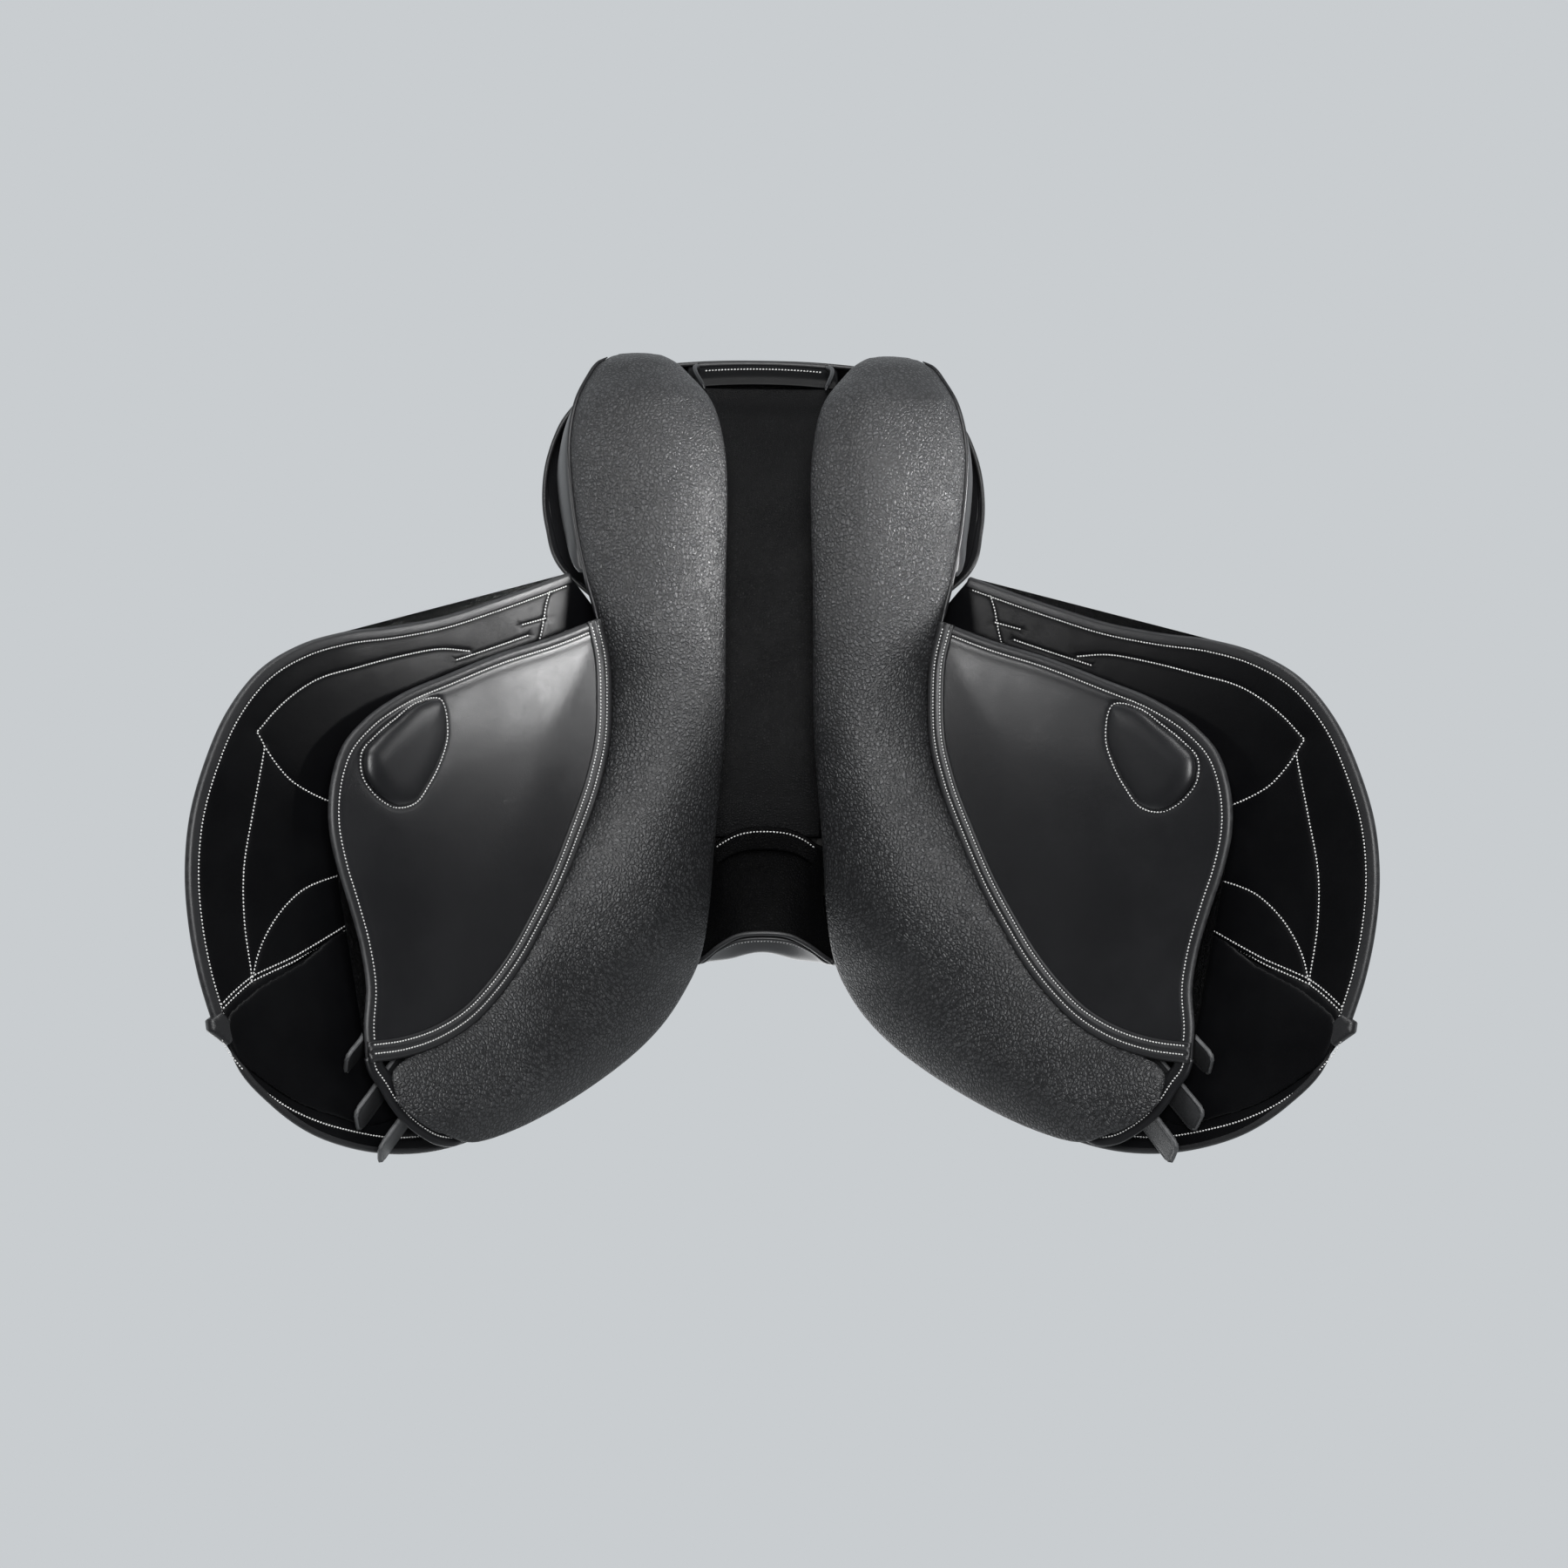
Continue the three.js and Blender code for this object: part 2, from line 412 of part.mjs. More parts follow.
// ---------------------------------------------------------------- billets, on webs that pass over the tree's rails
// each billet lies in its own layer between the flap and the sweat flap: pivot (u, y), direction to its blunt end
const BILLETS = {
  billet_rear: { pivot: [16, 36], tip: [272, -206], layer: LAYER.b1 },
  billet_middle: { pivot: [16, 14], tip: [262, -245], layer: LAYER.b2 },
  billet_front: { pivot: [16, -14], tip: [241, -268], layer: LAYER.b3 },
};
for (const [name, { pivot, tip, layer }] of Object.entries(BILLETS)) {
  const angle = Math.atan2(tip[1] - pivot[1], tip[0] - pivot[0]);
  const len = Math.hypot(tip[0] - pivot[0], tip[1] - pivot[1]), h = BILLET_W / 2;
  const s = new THREE.Shape();
  s.moveTo(-10, -h + 3);
  s.lineTo(-7, -h);
  s.lineTo(len - 5, -h);
  s.lineTo(len, -h + 5);
  s.lineTo(len, h - 5);
  s.lineTo(len - 5, h);
  s.lineTo(-7, h);
  s.lineTo(-10, h - 3);
  const g = new THREE.ExtrudeGeometry(s, { depth: layer[1] - layer[0], bevelEnabled: false });
  g.rotateZ(angle);
  g.translate(pivot[0], pivot[1], 0);
  pair(name, placeSide(g, layer[0]), BLACK, 0.45);
}
{
  const web = (y0, y1, [n0, n1], uEnd) => sideBox([-22, uEnd], [y0, y1], [n0, n1]);
  pair("billet_web_rear", web(10, 50, LAYER.webRear, 24), WEB, 0.9);
  pair("billet_web_front", web(-27, -1, LAYER.webFront, 24), WEB, 0.9);
}

// ---------------------------------------------------------------- skirts: over the stirrup bars, hinged along the seat's side
const HINGE = (y) => [73.5 + (y + 95) * 0.19, y, 32 - (y + 95) * 0.1286];
{
  // inner y, outer y, half-width of the outer edge
  const rows = [[-112, -116, 84], [-103, -110, 112], [-90, -92, 134], [-60, -60, 155], [-20, -20, 170], [20, 20, 177], [60, 60, 176], [100, 100, 170], [126, 132, 162], [138, 152, 148]];
  const at = ([yi, yo, xo], t, lift) => {
    const h = HINGE(yi), nIn = (h[0] - FLAP_X) * S + (h[2] - FLAP_Z) * C, uIn = (h[0] - FLAP_X) * C - (h[2] - FLAP_Z) * S;
    const uOut = (xo - FLAP_X - 6.5 * S) / C, y = lerp(yi, yo, t);
    const bulge = y > -100 && y < 60 ? 7 : 3;
    const n = lerp(nIn - 2, 6.5, t) + bulge * Math.sin(Math.PI * Math.min(1, t)) + lift;
    return side(lerp(uIn + 2.5, uOut, t), y, n);
  };
  const T = [0, 0.25, 0.5, 0.75, 1];
  pair("skirt", slab(rows.map((r) => T.map((t) => at(r, t, SKIRT_T))), rows.map((r) => T.map((t) => at(r, t, 0)))), BLACK, 0.4);
}

// ---------------------------------------------------------------- pommel nails and front dees
{
  const nail = new THREE.LatheGeometry([[0, 0], [5, 0], [5, 0.8], [3.6, 2.4], [0, 3]].map(([r, h]) => new THREE.Vector2(r, h)), 12);
  nail.rotateZ(-Math.PI / 2);
  nail.rotateY(-0.35);
  nail.translate(72.5, -86, 43);
  pair("saddle_nail", nail, STEEL, 0.25, 1);
  const [dx, dy, dz] = [78, -127, 42];
  const ring = new THREE.TorusGeometry(RING_R, RING_T, 8, 20);
  ring.rotateX(Math.PI / 2);
  ring.translate(dx, dy, dz - RING_R);
  pair("dee", ring, STEEL, 0.25, 1);
  const keeper = new THREE.BoxGeometry(8, 10, 10);
  keeper.translate(dx, dy + 0.5, dz + 0.5);
  const hole = new THREE.CylinderGeometry(3.5, 3.5, 12, 12);
  hole.rotateZ(Math.PI / 2);
  hole.translate(dx, dy, dz);
  pair("dee_keeper", cut(keeper, hole), BLACK, 0.5);
}

const root = new THREE.Group();
for (const [name, geo, color, roughness, metalness] of nodes) {
  const mesh = new THREE.Mesh(geo, new THREE.MeshStandardMaterial({ color, roughness, metalness }));
  mesh.name = name;
  root.add(mesh);
}
export default root;
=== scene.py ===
import bpy, bmesh, math
import numpy as np
from mathutils import Vector, Matrix
from mathutils.geometry import delaunay_2d_cdt


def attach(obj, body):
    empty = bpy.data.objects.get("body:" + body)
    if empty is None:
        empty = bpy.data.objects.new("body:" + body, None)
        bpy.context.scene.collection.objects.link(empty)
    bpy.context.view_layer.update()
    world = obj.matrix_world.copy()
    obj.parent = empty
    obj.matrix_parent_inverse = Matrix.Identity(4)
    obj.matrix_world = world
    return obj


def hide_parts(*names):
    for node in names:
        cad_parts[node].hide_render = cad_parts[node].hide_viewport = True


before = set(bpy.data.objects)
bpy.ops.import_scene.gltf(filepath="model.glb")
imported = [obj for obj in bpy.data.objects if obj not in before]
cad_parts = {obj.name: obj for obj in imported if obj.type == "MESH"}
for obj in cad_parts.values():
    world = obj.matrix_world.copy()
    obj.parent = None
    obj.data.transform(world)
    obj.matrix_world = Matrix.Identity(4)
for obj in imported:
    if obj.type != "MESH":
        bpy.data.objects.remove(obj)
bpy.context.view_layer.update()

rng = np.random.default_rng(7)

# ------------------------------------------------------------------ the side plane
SL = 0.95
C = 1 / math.hypot(1, SL)
S = SL * C
SWEAT_N = -21.7


def side(u, y, n):
    u, y, n = np.broadcast_arrays(np.asarray(u, float), np.asarray(y, float), np.asarray(n, float))
    return np.stack([110 + u * C + n * S, y, -10 - u * S + n * C], -1)


def to_u(pts, n):
    """(x, y) as seen on a sheet's face at height n -> (u, y)."""
    p = np.array(pts, float)
    return np.stack([(p[:, 0] - n * S - 110) / C, p[:, 1]], -1)


# ------------------------------------------------------------------ curves
def _hermite(P, closed, corners, fine):
    n = len(P)
    D = [np.linalg.norm(P[(i + 1) % n] - P[i]) for i in range(n)]

    def chord(i):
        return (P[(i + 1) % n] - P[i % n]) / max(D[i % n], 1e-9)

    def tangent(i):
        if not closed and i == 0:
            return chord(0)
        if not closed and i == n - 1:
            return chord(n - 2)
        la, lb = D[(i - 1) % n], D[i % n]
        return (chord((i - 1) % n) * lb + chord(i) * la) / (la + lb)

    out = []
    for i in range(n if closed else n - 1):
        j = (i + 1) % n
        L = D[i]
        t0 = chord(i) if i in corners else tangent(i)
        t1 = chord(i) if j in corners else tangent(j)
        m = max(3, int(math.ceil(L / fine)))
        t = np.linspace(0, 1, m, endpoint=False)[:, None]
        h00, h10 = 2 * t**3 - 3 * t**2 + 1, t**3 - 2 * t**2 + t
        h01, h11 = -2 * t**3 + 3 * t**2, t**3 - t**2
        out.append(h00 * P[i] + h10 * L * t0 + h01 * P[j] + h11 * L * t1)
    if not closed:
        out.append(P[-1:])
    return np.concatenate(out)


def resample(Q, step, closed=False, count=None):
    if closed:
        Q = np.concatenate([Q, Q[:1]])
    seg = np.linalg.norm(np.diff(Q, axis=0), axis=1)
    cum = np.concatenate([[0], np.cumsum(seg)])
    m = count or max(2, int(round(cum[-1] / step)) + (0 if closed else 1))
    s = np.linspace(0, cum[-1], m, endpoint=not closed)
    return np.stack([np.interp(s, cum, Q[:, k]) for k in range(Q.shape[1])], -1)


def curve(pts, step=2.0, closed=False, corners=()):
    P = np.array(pts, float)
    if closed and corners:  # start at a corner and take each run between corners by itself
        c0 = min(corners)
        P = np.roll(P, -c0, axis=0)
        cs = sorted((c - c0) % len(P) for c in corners)
        fine = np.concatenate([P, P[:1]])
        runs = []
        for a, b in zip(cs, cs[1:] + [len(P)]):
            q = _hermite(fine[a : b + 1], False, (), step / 3)
            runs.append(resample(q, step)[:-1])
        return np.concatenate(runs)
    return resample(_hermite(P, closed, set(corners), step / 3), step, closed)


def path_normals(Q, closed, smooth=2):
    """Left-hand normals of a 2D path."""
    if closed:
        t = np.roll(Q, -1, 0) - np.roll(Q, 1, 0)
    else:
        t = np.gradient(Q, axis=0)
    for _ in range(smooth):
        if closed:
            t = (np.roll(t, 1, 0) + 2 * t + np.roll(t, -1, 0)) / 4
        else:
            t[1:-1] = (t[:-2] + 2 * t[1:-1] + t[2:]) / 4
    t /= np.maximum(np.linalg.norm(t, axis=1, keepdims=True), 1e-9)
    return np.stack([-t[:, 1], t[:, 0]], -1)


def area2(Q):
    x, y = Q[:, 0], Q[:, 1]
    return 0.5 * np.sum(x * np.roll(y, -1) - np.roll(x, -1) * y)


def dist(P, Q, closed=False):
    """Distance of points P from polyline Q."""
    A = Q if closed else Q[:-1]
    B = np.roll(Q, -1, 0) if closed else Q[1:]
    out = np.empty(len(P))
    AB = B - A
    L2 = np.maximum((AB**2).sum(1), 1e-12)
    for k in range(0, len(P), 2000):
        p = P[k : k + 2000, None, :] - A[None]
        t = np.clip((p * AB[None]).sum(2) / L2[None], 0, 1)
        out[k : k + 2000] = np.sqrt(((p - t[..., None] * AB[None]) ** 2).sum(2).min(1))
    return out


def inside(P, Q):
    x, y = P[:, 0], P[:, 1]
    r = np.zeros(len(P), bool)
    for (ax, ay), (bx, by) in zip(Q, np.roll(Q, -1, 0)):
        if ay == by:
            continue
        hit = ((ay > y) != (by > y)) & (x < (bx - ax) * (y - ay) / (by - ay) + ax)
        r ^= hit
    return r


def sm(x, a=0.0, b=1.0):
    t = np.clip((np.asarray(x, float) - a) / (b - a), 0, 1)
    return t * t * (3 - 2 * t)


# ------------------------------------------------------------------ meshes
def make(name, verts, faces, mats, body, face_mat=None, smooth=True, mirror=False, merge=0):
    """A mesh piece from millimetres, riding on body. mirror makes it for the off side."""
    V = np.array(verts, float) * 0.001
    if mirror:
        V[:, 0] *= -1
        faces = [tuple(reversed(f)) for f in faces]
    me = bpy.data.meshes.new(name)
    me.from_pydata(V.tolist(), [], faces)
    for m in mats if isinstance(mats, (list, tuple)) else [mats]:
        me.materials.append(m)
    if face_mat is not None:
        me.polygons.foreach_set("material_index", np.array(face_mat, np.int32))
    me.polygons.foreach_set("use_smooth", np.full(len(me.polygons), smooth))
    if merge:
        bm = bmesh.new()
        bm.from_mesh(me)
        bmesh.ops.remove_doubles(bm, verts=bm.verts, dist=merge * 0.001)
        bmesh.ops.dissolve_degenerate(bm, edges=bm.edges, dist=1e-6)
        bmesh.ops.recalc_face_normals(bm, faces=bm.faces)
        bm.to_mesh(me)
        bm.free()
    me.update()
    o = bpy.data.objects.new(name, me)
    bpy.context.scene.collection.objects.link(o)
    if body:
        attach(o, body)
    return o


def grid_faces(R, K, wrap_r=False, wrap_k=False, base=0, flip=False):
    f = []
    for r in range(R if wrap_r else R - 1):
        r2 = (r + 1) % R
        for k in range(K if wrap_k else K - 1):
            k2 = (k + 1) % K
            q = (base + r * K + k, base + r * K + k2, base + r2 * K + k2, base + r2 * K + k)
            f.append(q[::-1] if flip else q)
    return f


def fix_out(V, F):
    """Turns every face round when the closed surface encloses a negative volume."""
    V = np.asarray(V)
    vol = 0.0
    for f in F:
        for a, b in zip(f[1:-1], f[2:]):
            vol += np.dot(V[f[0]], np.cross(V[a], V[b]))
    return F if vol >= 0 else [tuple(reversed(f)) for f in F]


def cdt(loop, lines, holes=(), grid=5.0, rings=(0.35, 0.9, 1.7, 2.8, 4.2, 6.0, 8.5), offs=(0, 0.7, 1.5, 2.6, 4.2)):
    """Points and triangles of a flat sheet, fine along its edge and along its lines."""
    if area2(loop) < 0:
        loop = loop[::-1]
    pts = [loop]
    taken = set()

    def add(P):
        if len(P):
            pts.append(P)

    N = path_normals(loop, True, 1)
    for r in rings:
        p = loop + N * r
        add(p[(dist(p, loop, True) > 0.93 * r) & inside(p, loop)])
    for h in holes:
        c = h.mean(0)
        add(c + (h - c) * 1.35)
        add(c + (h - c) * 1.9)
    for q in lines:
        n = path_normals(q, False, 1)
        for o in offs:
            for sg in (1, -1) if o else (1,):
                p = q + n * o * sg
                keep = inside(p, loop) & (dist(p, loop, True) > 0.5)
                if o:
                    keep &= dist(p, q) > 0.93 * o
                add(p[keep])
    lo, hi = loop.min(0), loop.max(0)
    rows = []
    for j, y in enumerate(np.arange(lo[1], hi[1], grid * 0.866)):
        x = np.arange(lo[0] + (grid / 2 if j % 2 else 0), hi[0], grid)
        rows.append(np.stack([x, np.full(len(x), y)], -1))
    g = np.concatenate(rows)
    g = g[inside(g, loop)]
    g = g[dist(g, loop, True) > (rings[-1] if rings else 0) + 0.45 * grid]
    for q in lines:
        g = g[dist(g, q) > offs[-1] + 0.45 * grid]
    add(g)
    for h in holes:
        pts = [pts[0]] + [p[~inside(p, h) & (dist(p, h, True) > 0.35)] for p in pts[1:]]
    # keep points apart
    out = list(map(tuple, pts[0]))
    cell = {}
    key = lambda p: (int(math.floor(p[0] / 0.6)), int(math.floor(p[1] / 0.6)))
    for p in out:
        cell.setdefault(key(p), []).append(p)
    for P in pts[1:]:
        for p in map(tuple, P):
            k = key(p)
            near = False
            for i in (-1, 0, 1):
                for j in (-1, 0, 1):
                    for q in cell.get((k[0] + i, k[1] + j), ()):
                        if (p[0] - q[0]) ** 2 + (p[1] - q[1]) ** 2 < 0.25:
                            near = True
            if not near:
                cell.setdefault(k, []).append(p)
                out.append(p)
    edges = [(i, (i + 1) % len(loop)) for i in range(len(loop))]
    for h in holes:
        b = len(out)
        out += list(map(tuple, h))
        edges += [(b + i, b + (i + 1) % len(h)) for i in range(len(h))]
    r = delaunay_2d_cdt([Vector(p) for p in out], edges, [], 1, 1e-5, False)
    V = np.array([tuple(v) for v in r[0]])
    F = np.array([f for f in r[2] if len(f) == 3])
    cen = V[F].mean(1)
    ok = np.ones(len(F), bool)
    for h in holes:
        ok &= ~inside(cen, h)
    F = F[ok]
    a = V[F]
    cr = (a[:, 1, 0] - a[:, 0, 0]) * (a[:, 2, 1] - a[:, 0, 1]) - (a[:, 2, 0] - a[:, 0, 0]) * (a[:, 1, 1] - a[:, 0, 1])
    F[cr < 0] = F[cr < 0][:, ::-1]
    F = F[np.abs(cr) > 1e-4]
    used = np.unique(F)
    m = np.full(len(V), -1)
    m[used] = np.arange(len(used))
    return V[used], m[F], loop


class Sheet:
    """A flat piece of leather with rounded edges: front is the height of its lower face, back of its upper one."""

    def __init__(self, loop, front, back, lines=(), holes=(), edge=1.6, grid=5.0, place=side, **k):
        self.V, self.F, self.loop = cdt(loop, lines, holes, grid, **k)
        self.front, self.back, self.edge, self.holes, self.place = front, back, edge, holes, place

    def d(self, P):
        d = dist(P, self.loop, True)
        for h in self.holes:
            d = np.minimum(d, dist(P, h, True))
        return d

    def heights(self, P):
        d = self.d(P)
        f, b = self.front(P, d), self.back(P, d)
        m = (f + b) / 2
        k = np.sqrt(np.clip(1 - (1 - np.clip(d / self.edge, 0, 1)) ** 2, 0, 1))
        return m + (f - m) * k, m + (b - m) * k, d

    def at(self, P):
        """Points of the lower face, and its outward normals."""
        f = lambda Q: self.place(Q[:, 0], Q[:, 1], self.heights(Q)[0])
        e = 0.4
        p = f(P)
        a = f(P + [e, 0]) - f(P - [e, 0])
        b = f(P + [0, e]) - f(P - [0, e])
        n = np.cross(b, a)
        return p, n / np.maximum(np.linalg.norm(n, axis=1, keepdims=True), 1e-9)

    def mesh(self, edge_w=0.0):
        f, b, d = self.heights(self.V)
        rim = d < 1e-4
        n = len(self.V)
        back = np.where(rim, np.arange(n), -1)
        back[~rim] = n + np.arange((~rim).sum())
        A = self.place(self.V[:, 0], self.V[:, 1], f)
        B = self.place(self.V[:, 0], self.V[:, 1], b)[~rim]
        faces = [tuple(t[::-1]) for t in self.F.tolist()] + [tuple(t) for t in back[self.F].tolist()]
        dm = d[self.F].mean(1)
        fm = np.concatenate([(dm < edge_w), (dm < edge_w)]).astype(int)
        return np.concatenate([A, B]), faces, fm


def sweep(path, normals, profile, n0, closed, place=side, height=None):
    """A strip along a 2D path. profile is a closed ring of (distance inwards, height)."""
    V = []
    for w, h in profile:
        P = path + normals * w
        base = n0 if height is None else height(P)
        V.append(place(P[:, 0], P[:, 1], base + h))
    V = np.stack(V, 1)  # path x profile
    R, K = V.shape[:2]
    F = grid_faces(R, K, wrap_r=closed, wrap_k=True)
    V = V.reshape(-1, 3)
    if not closed:
        F.append(tuple(range(K))[::-1])
        F.append(tuple((R - 1) * K + k for k in range(K)))
    return V, fix_out(V, F)


def tube(P, r, closed=False, sides=10, squash=1.0, taper=0):
    """A round cord along 3D points."""
    P = np.asarray(P, float)
    n = len(P)
    T = (np.roll(P, -1, 0) - np.roll(P, 1, 0)) if closed else np.gradient(P, axis=0)
    T /= np.maximum(np.linalg.norm(T, axis=1, keepdims=True), 1e-9)
    up = np.array([0.13, 0.21, 0.97])
    X = np.cross(T[0], up)
    X /= np.linalg.norm(X)
    V = []
    for i in range(n):
        X = X - T[i] * np.dot(X, T[i])
        X /= max(np.linalg.norm(X), 1e-9)
        Y = np.cross(T[i], X)
        k = 1.0
        if taper and not closed:
            k = min(1.0, 0.25 + min(i, n - 1 - i) / taper)
        rr = (r[i] if hasattr(r, "__len__") else r) * k
        for j in range(sides):
            a = 2 * math.pi * j / sides
            V.append(P[i] + rr * (math.cos(a) * X + squash * math.sin(a) * Y))
    F = grid_faces(n, sides, wrap_r=closed, wrap_k=True)
    if not closed:
        F.append(tuple(range(sides))[::-1])
        F.append(tuple((n - 1) * sides + k for k in range(sides)))
    V = np.array(V)
    return V, fix_out(V, F)


def stitches(rows, pitch=2.5, length=1.6, r=0.5, sink=0.2, slant=7.0):
    """Separate stitches along rows of (points, normals), each a short thread whose ends go into the leather."""
    VV, FF, base = [], [], 0
    K = 6
    prof = [(-0.5, 0.35, -0.42), (-0.36, 0.85, -0.06), (0.0, 1.0, 0.06), (0.36, 0.85, -0.06), (0.5, 0.35, -0.42)]
    for P, N in rows:
        seg = np.linalg.norm(np.diff(P, axis=0), axis=1)
        cum = np.concatenate([[0], np.cumsum(seg)])
        m = max(1, int(cum[-1] / pitch))
        s = (np.arange(m) + 0.5) * cum[-1] / m
        at = lambda x, A: np.stack([np.interp(x, cum, A[:, k]) for k in range(3)], -1)
        p = at(s, P)
        t = at(np.minimum(s + 0.7, cum[-1]), P) - at(np.maximum(s - 0.7, 0), P)
        t /= np.maximum(np.linalg.norm(t, axis=1, keepdims=True), 1e-9)
        n = at(s, N)
        n -= t * (n * t).sum(1, keepdims=True)
        n /= np.maximum(np.linalg.norm(n, axis=1, keepdims=True), 1e-9)
        b = np.cross(n, t)
        ang = np.radians(slant + rng.normal(0, 2.0, m))[:, None]
        t2 = t * np.cos(ang) + b * np.sin(ang)
        b2 = np.cross(n, t2)
        ln = (length * (1 + rng.normal(0, 0.04, m)))[:, None]
        for x, k, dz in prof:
            for j in range(K):
                a = 2 * math.pi * j / K
                VV.append(p + t2 * ln * x + n * (sink + dz + r * k * math.sin(a)) + b2 * (r * 1.1 * k * math.cos(a)))
        for i in range(m):
            o = lambda q, j: base + (q * K + j % K) * m + i
            for q in range(4):
                for j in range(K):
                    FF.append((o(q, j), o(q, j + 1), o(q + 1, j + 1), o(q + 1, j)))
            FF.append(tuple(o(0, j) for j in range(K))[::-1])
            FF.append(tuple(o(4, j) for j in range(K)))
        base += 5 * K * m
    return np.concatenate(VV), FF


def patch(G, nr, nk, smooth_r=True, smooth_k=True):
    """A fine smooth grid through a coarse grid of points, rows x columns."""
    G = np.array(G, float)

    def along(A, m, smooth):
        n = len(A)
        x = np.linspace(0, n - 1, m)
        i = np.clip(x.astype(int), 0, n - 2)
        t = (x - i)[:, None, None]
        p0, p1, p2, p3 = A[np.maximum(i - 1, 0)], A[i], A[i + 1], A[np.minimum(i + 2, n - 1)]
        if not smooth:
            return p1 + (p2 - p1) * t
        p0 = np.where((i == 0)[:, None, None], 2 * p1 - p2, p0)
        p3 = np.where((i == n - 2)[:, None, None], 2 * p2 - p1, p3)
        return 0.5 * (2 * p1 + (p2 - p0) * t + (2 * p0 - 5 * p1 + 4 * p2 - p3) * t**2 + (3 * p1 - p0 - 3 * p2 + p3) * t**3)

    G = along(G, nr, smooth_r)
    return along(G.transpose(1, 0, 2), nk, smooth_k).transpose(1, 0, 2)


def normals_of(G):
    a, b = np.gradient(G, axis=0), np.gradient(G, axis=1)
    n = np.cross(a, b)
    return n / np.maximum(np.linalg.norm(n, axis=2, keepdims=True), 1e-9)


def shell(G, T, inward, round_edge=1.0):
    """A closed sheet: G is the outer face, T its thickness, inward the sign of the grid normal that points into it."""
    R, K = G.shape[:2]
    N = normals_of(G) * inward
    r = np.minimum(np.arange(R), R - 1 - np.arange(R))[:, None]
    k = np.minimum(np.arange(K), K - 1 - np.arange(K))[None]
    e = np.where((r == 0) | (k == 0), round_edge * 0.5, 0.0)[..., None]
    A = G + N * e * T
    B = G + N * (T - e * T)
    # at the rim both faces are drawn in towards the middle of the thickness
    V = np.concatenate([A.reshape(-1, 3), B.reshape(-1, 3)])
    F = grid_faces(R, K) + grid_faces(R, K, base=R * K, flip=True)
    rim = [(0, k) for k in range(K)] + [(r, K - 1) for r in range(1, R)] + [(R - 1, k) for k in range(K - 2, -1, -1)] + [(r, 0) for r in range(R - 2, 0, -1)]
    for (r0, k0), (r1, k1) in zip(rim, rim[1:] + rim[:1]):
        a, b = r0 * K + k0, r1 * K + k1
        F.append((b, a, R * K + a, R * K + b))
    return V, fix_out(V, F)

# ------------------------------------------------------------------ materials
class Nodes:
    def __init__(self, name):
        self.m = bpy.data.materials.new(name)
        self.m.use_nodes = True
        self.t = self.m.node_tree
        self.t.nodes.clear()
        self.out = self.t.nodes.new("ShaderNodeOutputMaterial")
        self.b = self.t.nodes.new("ShaderNodeBsdfPrincipled")
        self.t.links.new(self.b.outputs[0], self.out.inputs[0])
        self.co = self.t.nodes.new("ShaderNodeTexCoord").outputs["Object"]

    def link(self, a, b):
        self.t.links.new(a, b)

    def noise(self, scale, detail=3, rough=0.5, distortion=0.0, vec=None):
        n = self.t.nodes.new("ShaderNodeTexNoise")
        n.inputs["Scale"].default_value = scale
        n.inputs["Detail"].default_value = detail
        n.inputs["Roughness"].default_value = rough
        n.inputs["Distortion"].default_value = distortion
        self.link(vec or self.co, n.inputs["Vector"])
        return n.outputs["Fac"]

    def voronoi(self, scale, feature="DISTANCE_TO_EDGE", randomness=1.0, vec=None):
        n = self.t.nodes.new("ShaderNodeTexVoronoi")
        n.feature = feature
        n.inputs["Scale"].default_value = scale
        n.inputs["Randomness"].default_value = randomness
        self.link(vec or self.co, n.inputs["Vector"])
        return n.outputs["Distance"]

    def ramp(self, fac, a, b, lo, hi):
        n = self.t.nodes.new("ShaderNodeMapRange")
        n.interpolation_type = "SMOOTHSTEP"
        for k, v in zip(("From Min", "From Max", "To Min", "To Max"), (a, b, lo, hi)):
            n.inputs[k].default_value = v
        self.link(fac, n.inputs["Value"])
        return n.outputs["Result"]

    def math(self, op, a, b):
        n = self.t.nodes.new("ShaderNodeMath")
        n.operation = op
        for i, v in enumerate((a, b)):
            if isinstance(v, (int, float)):
                n.inputs[i].default_value = v
            else:
                self.link(v, n.inputs[i])
        return n.outputs[0]

    def mixc(self, fac, a, b):
        n = self.t.nodes.new("ShaderNodeMix")
        n.data_type = "RGBA"
        self.link(fac, n.inputs["Factor"])
        n.inputs["A"].default_value = (*a, 1)
        n.inputs["B"].default_value = (*b, 1)
        return n.outputs["Result"]

    def bump(self, height, distance, strength=1.0, normal=None):
        n = self.t.nodes.new("ShaderNodeBump")
        n.inputs["Strength"].default_value = strength
        n.inputs["Distance"].default_value = distance
        self.link(height, n.inputs["Height"])
        if normal is not None:
            self.link(normal, n.inputs["Normal"])
        return n.outputs["Normal"]

    def warp(self, scale, amount):
        """Coordinates pushed about by a noise, so that no cell stays regular."""
        n = self.t.nodes.new("ShaderNodeTexNoise")
        n.inputs["Scale"].default_value = scale
        n.inputs["Detail"].default_value = 2
        self.link(self.co, n.inputs["Vector"])
        s = self.t.nodes.new("ShaderNodeVectorMath")
        s.operation = "MULTIPLY_ADD"
        self.link(n.outputs["Color"], s.inputs[0])
        s.inputs[1].default_value = (amount,) * 3
        self.link(self.co, s.inputs[2])
        return s.outputs[0]


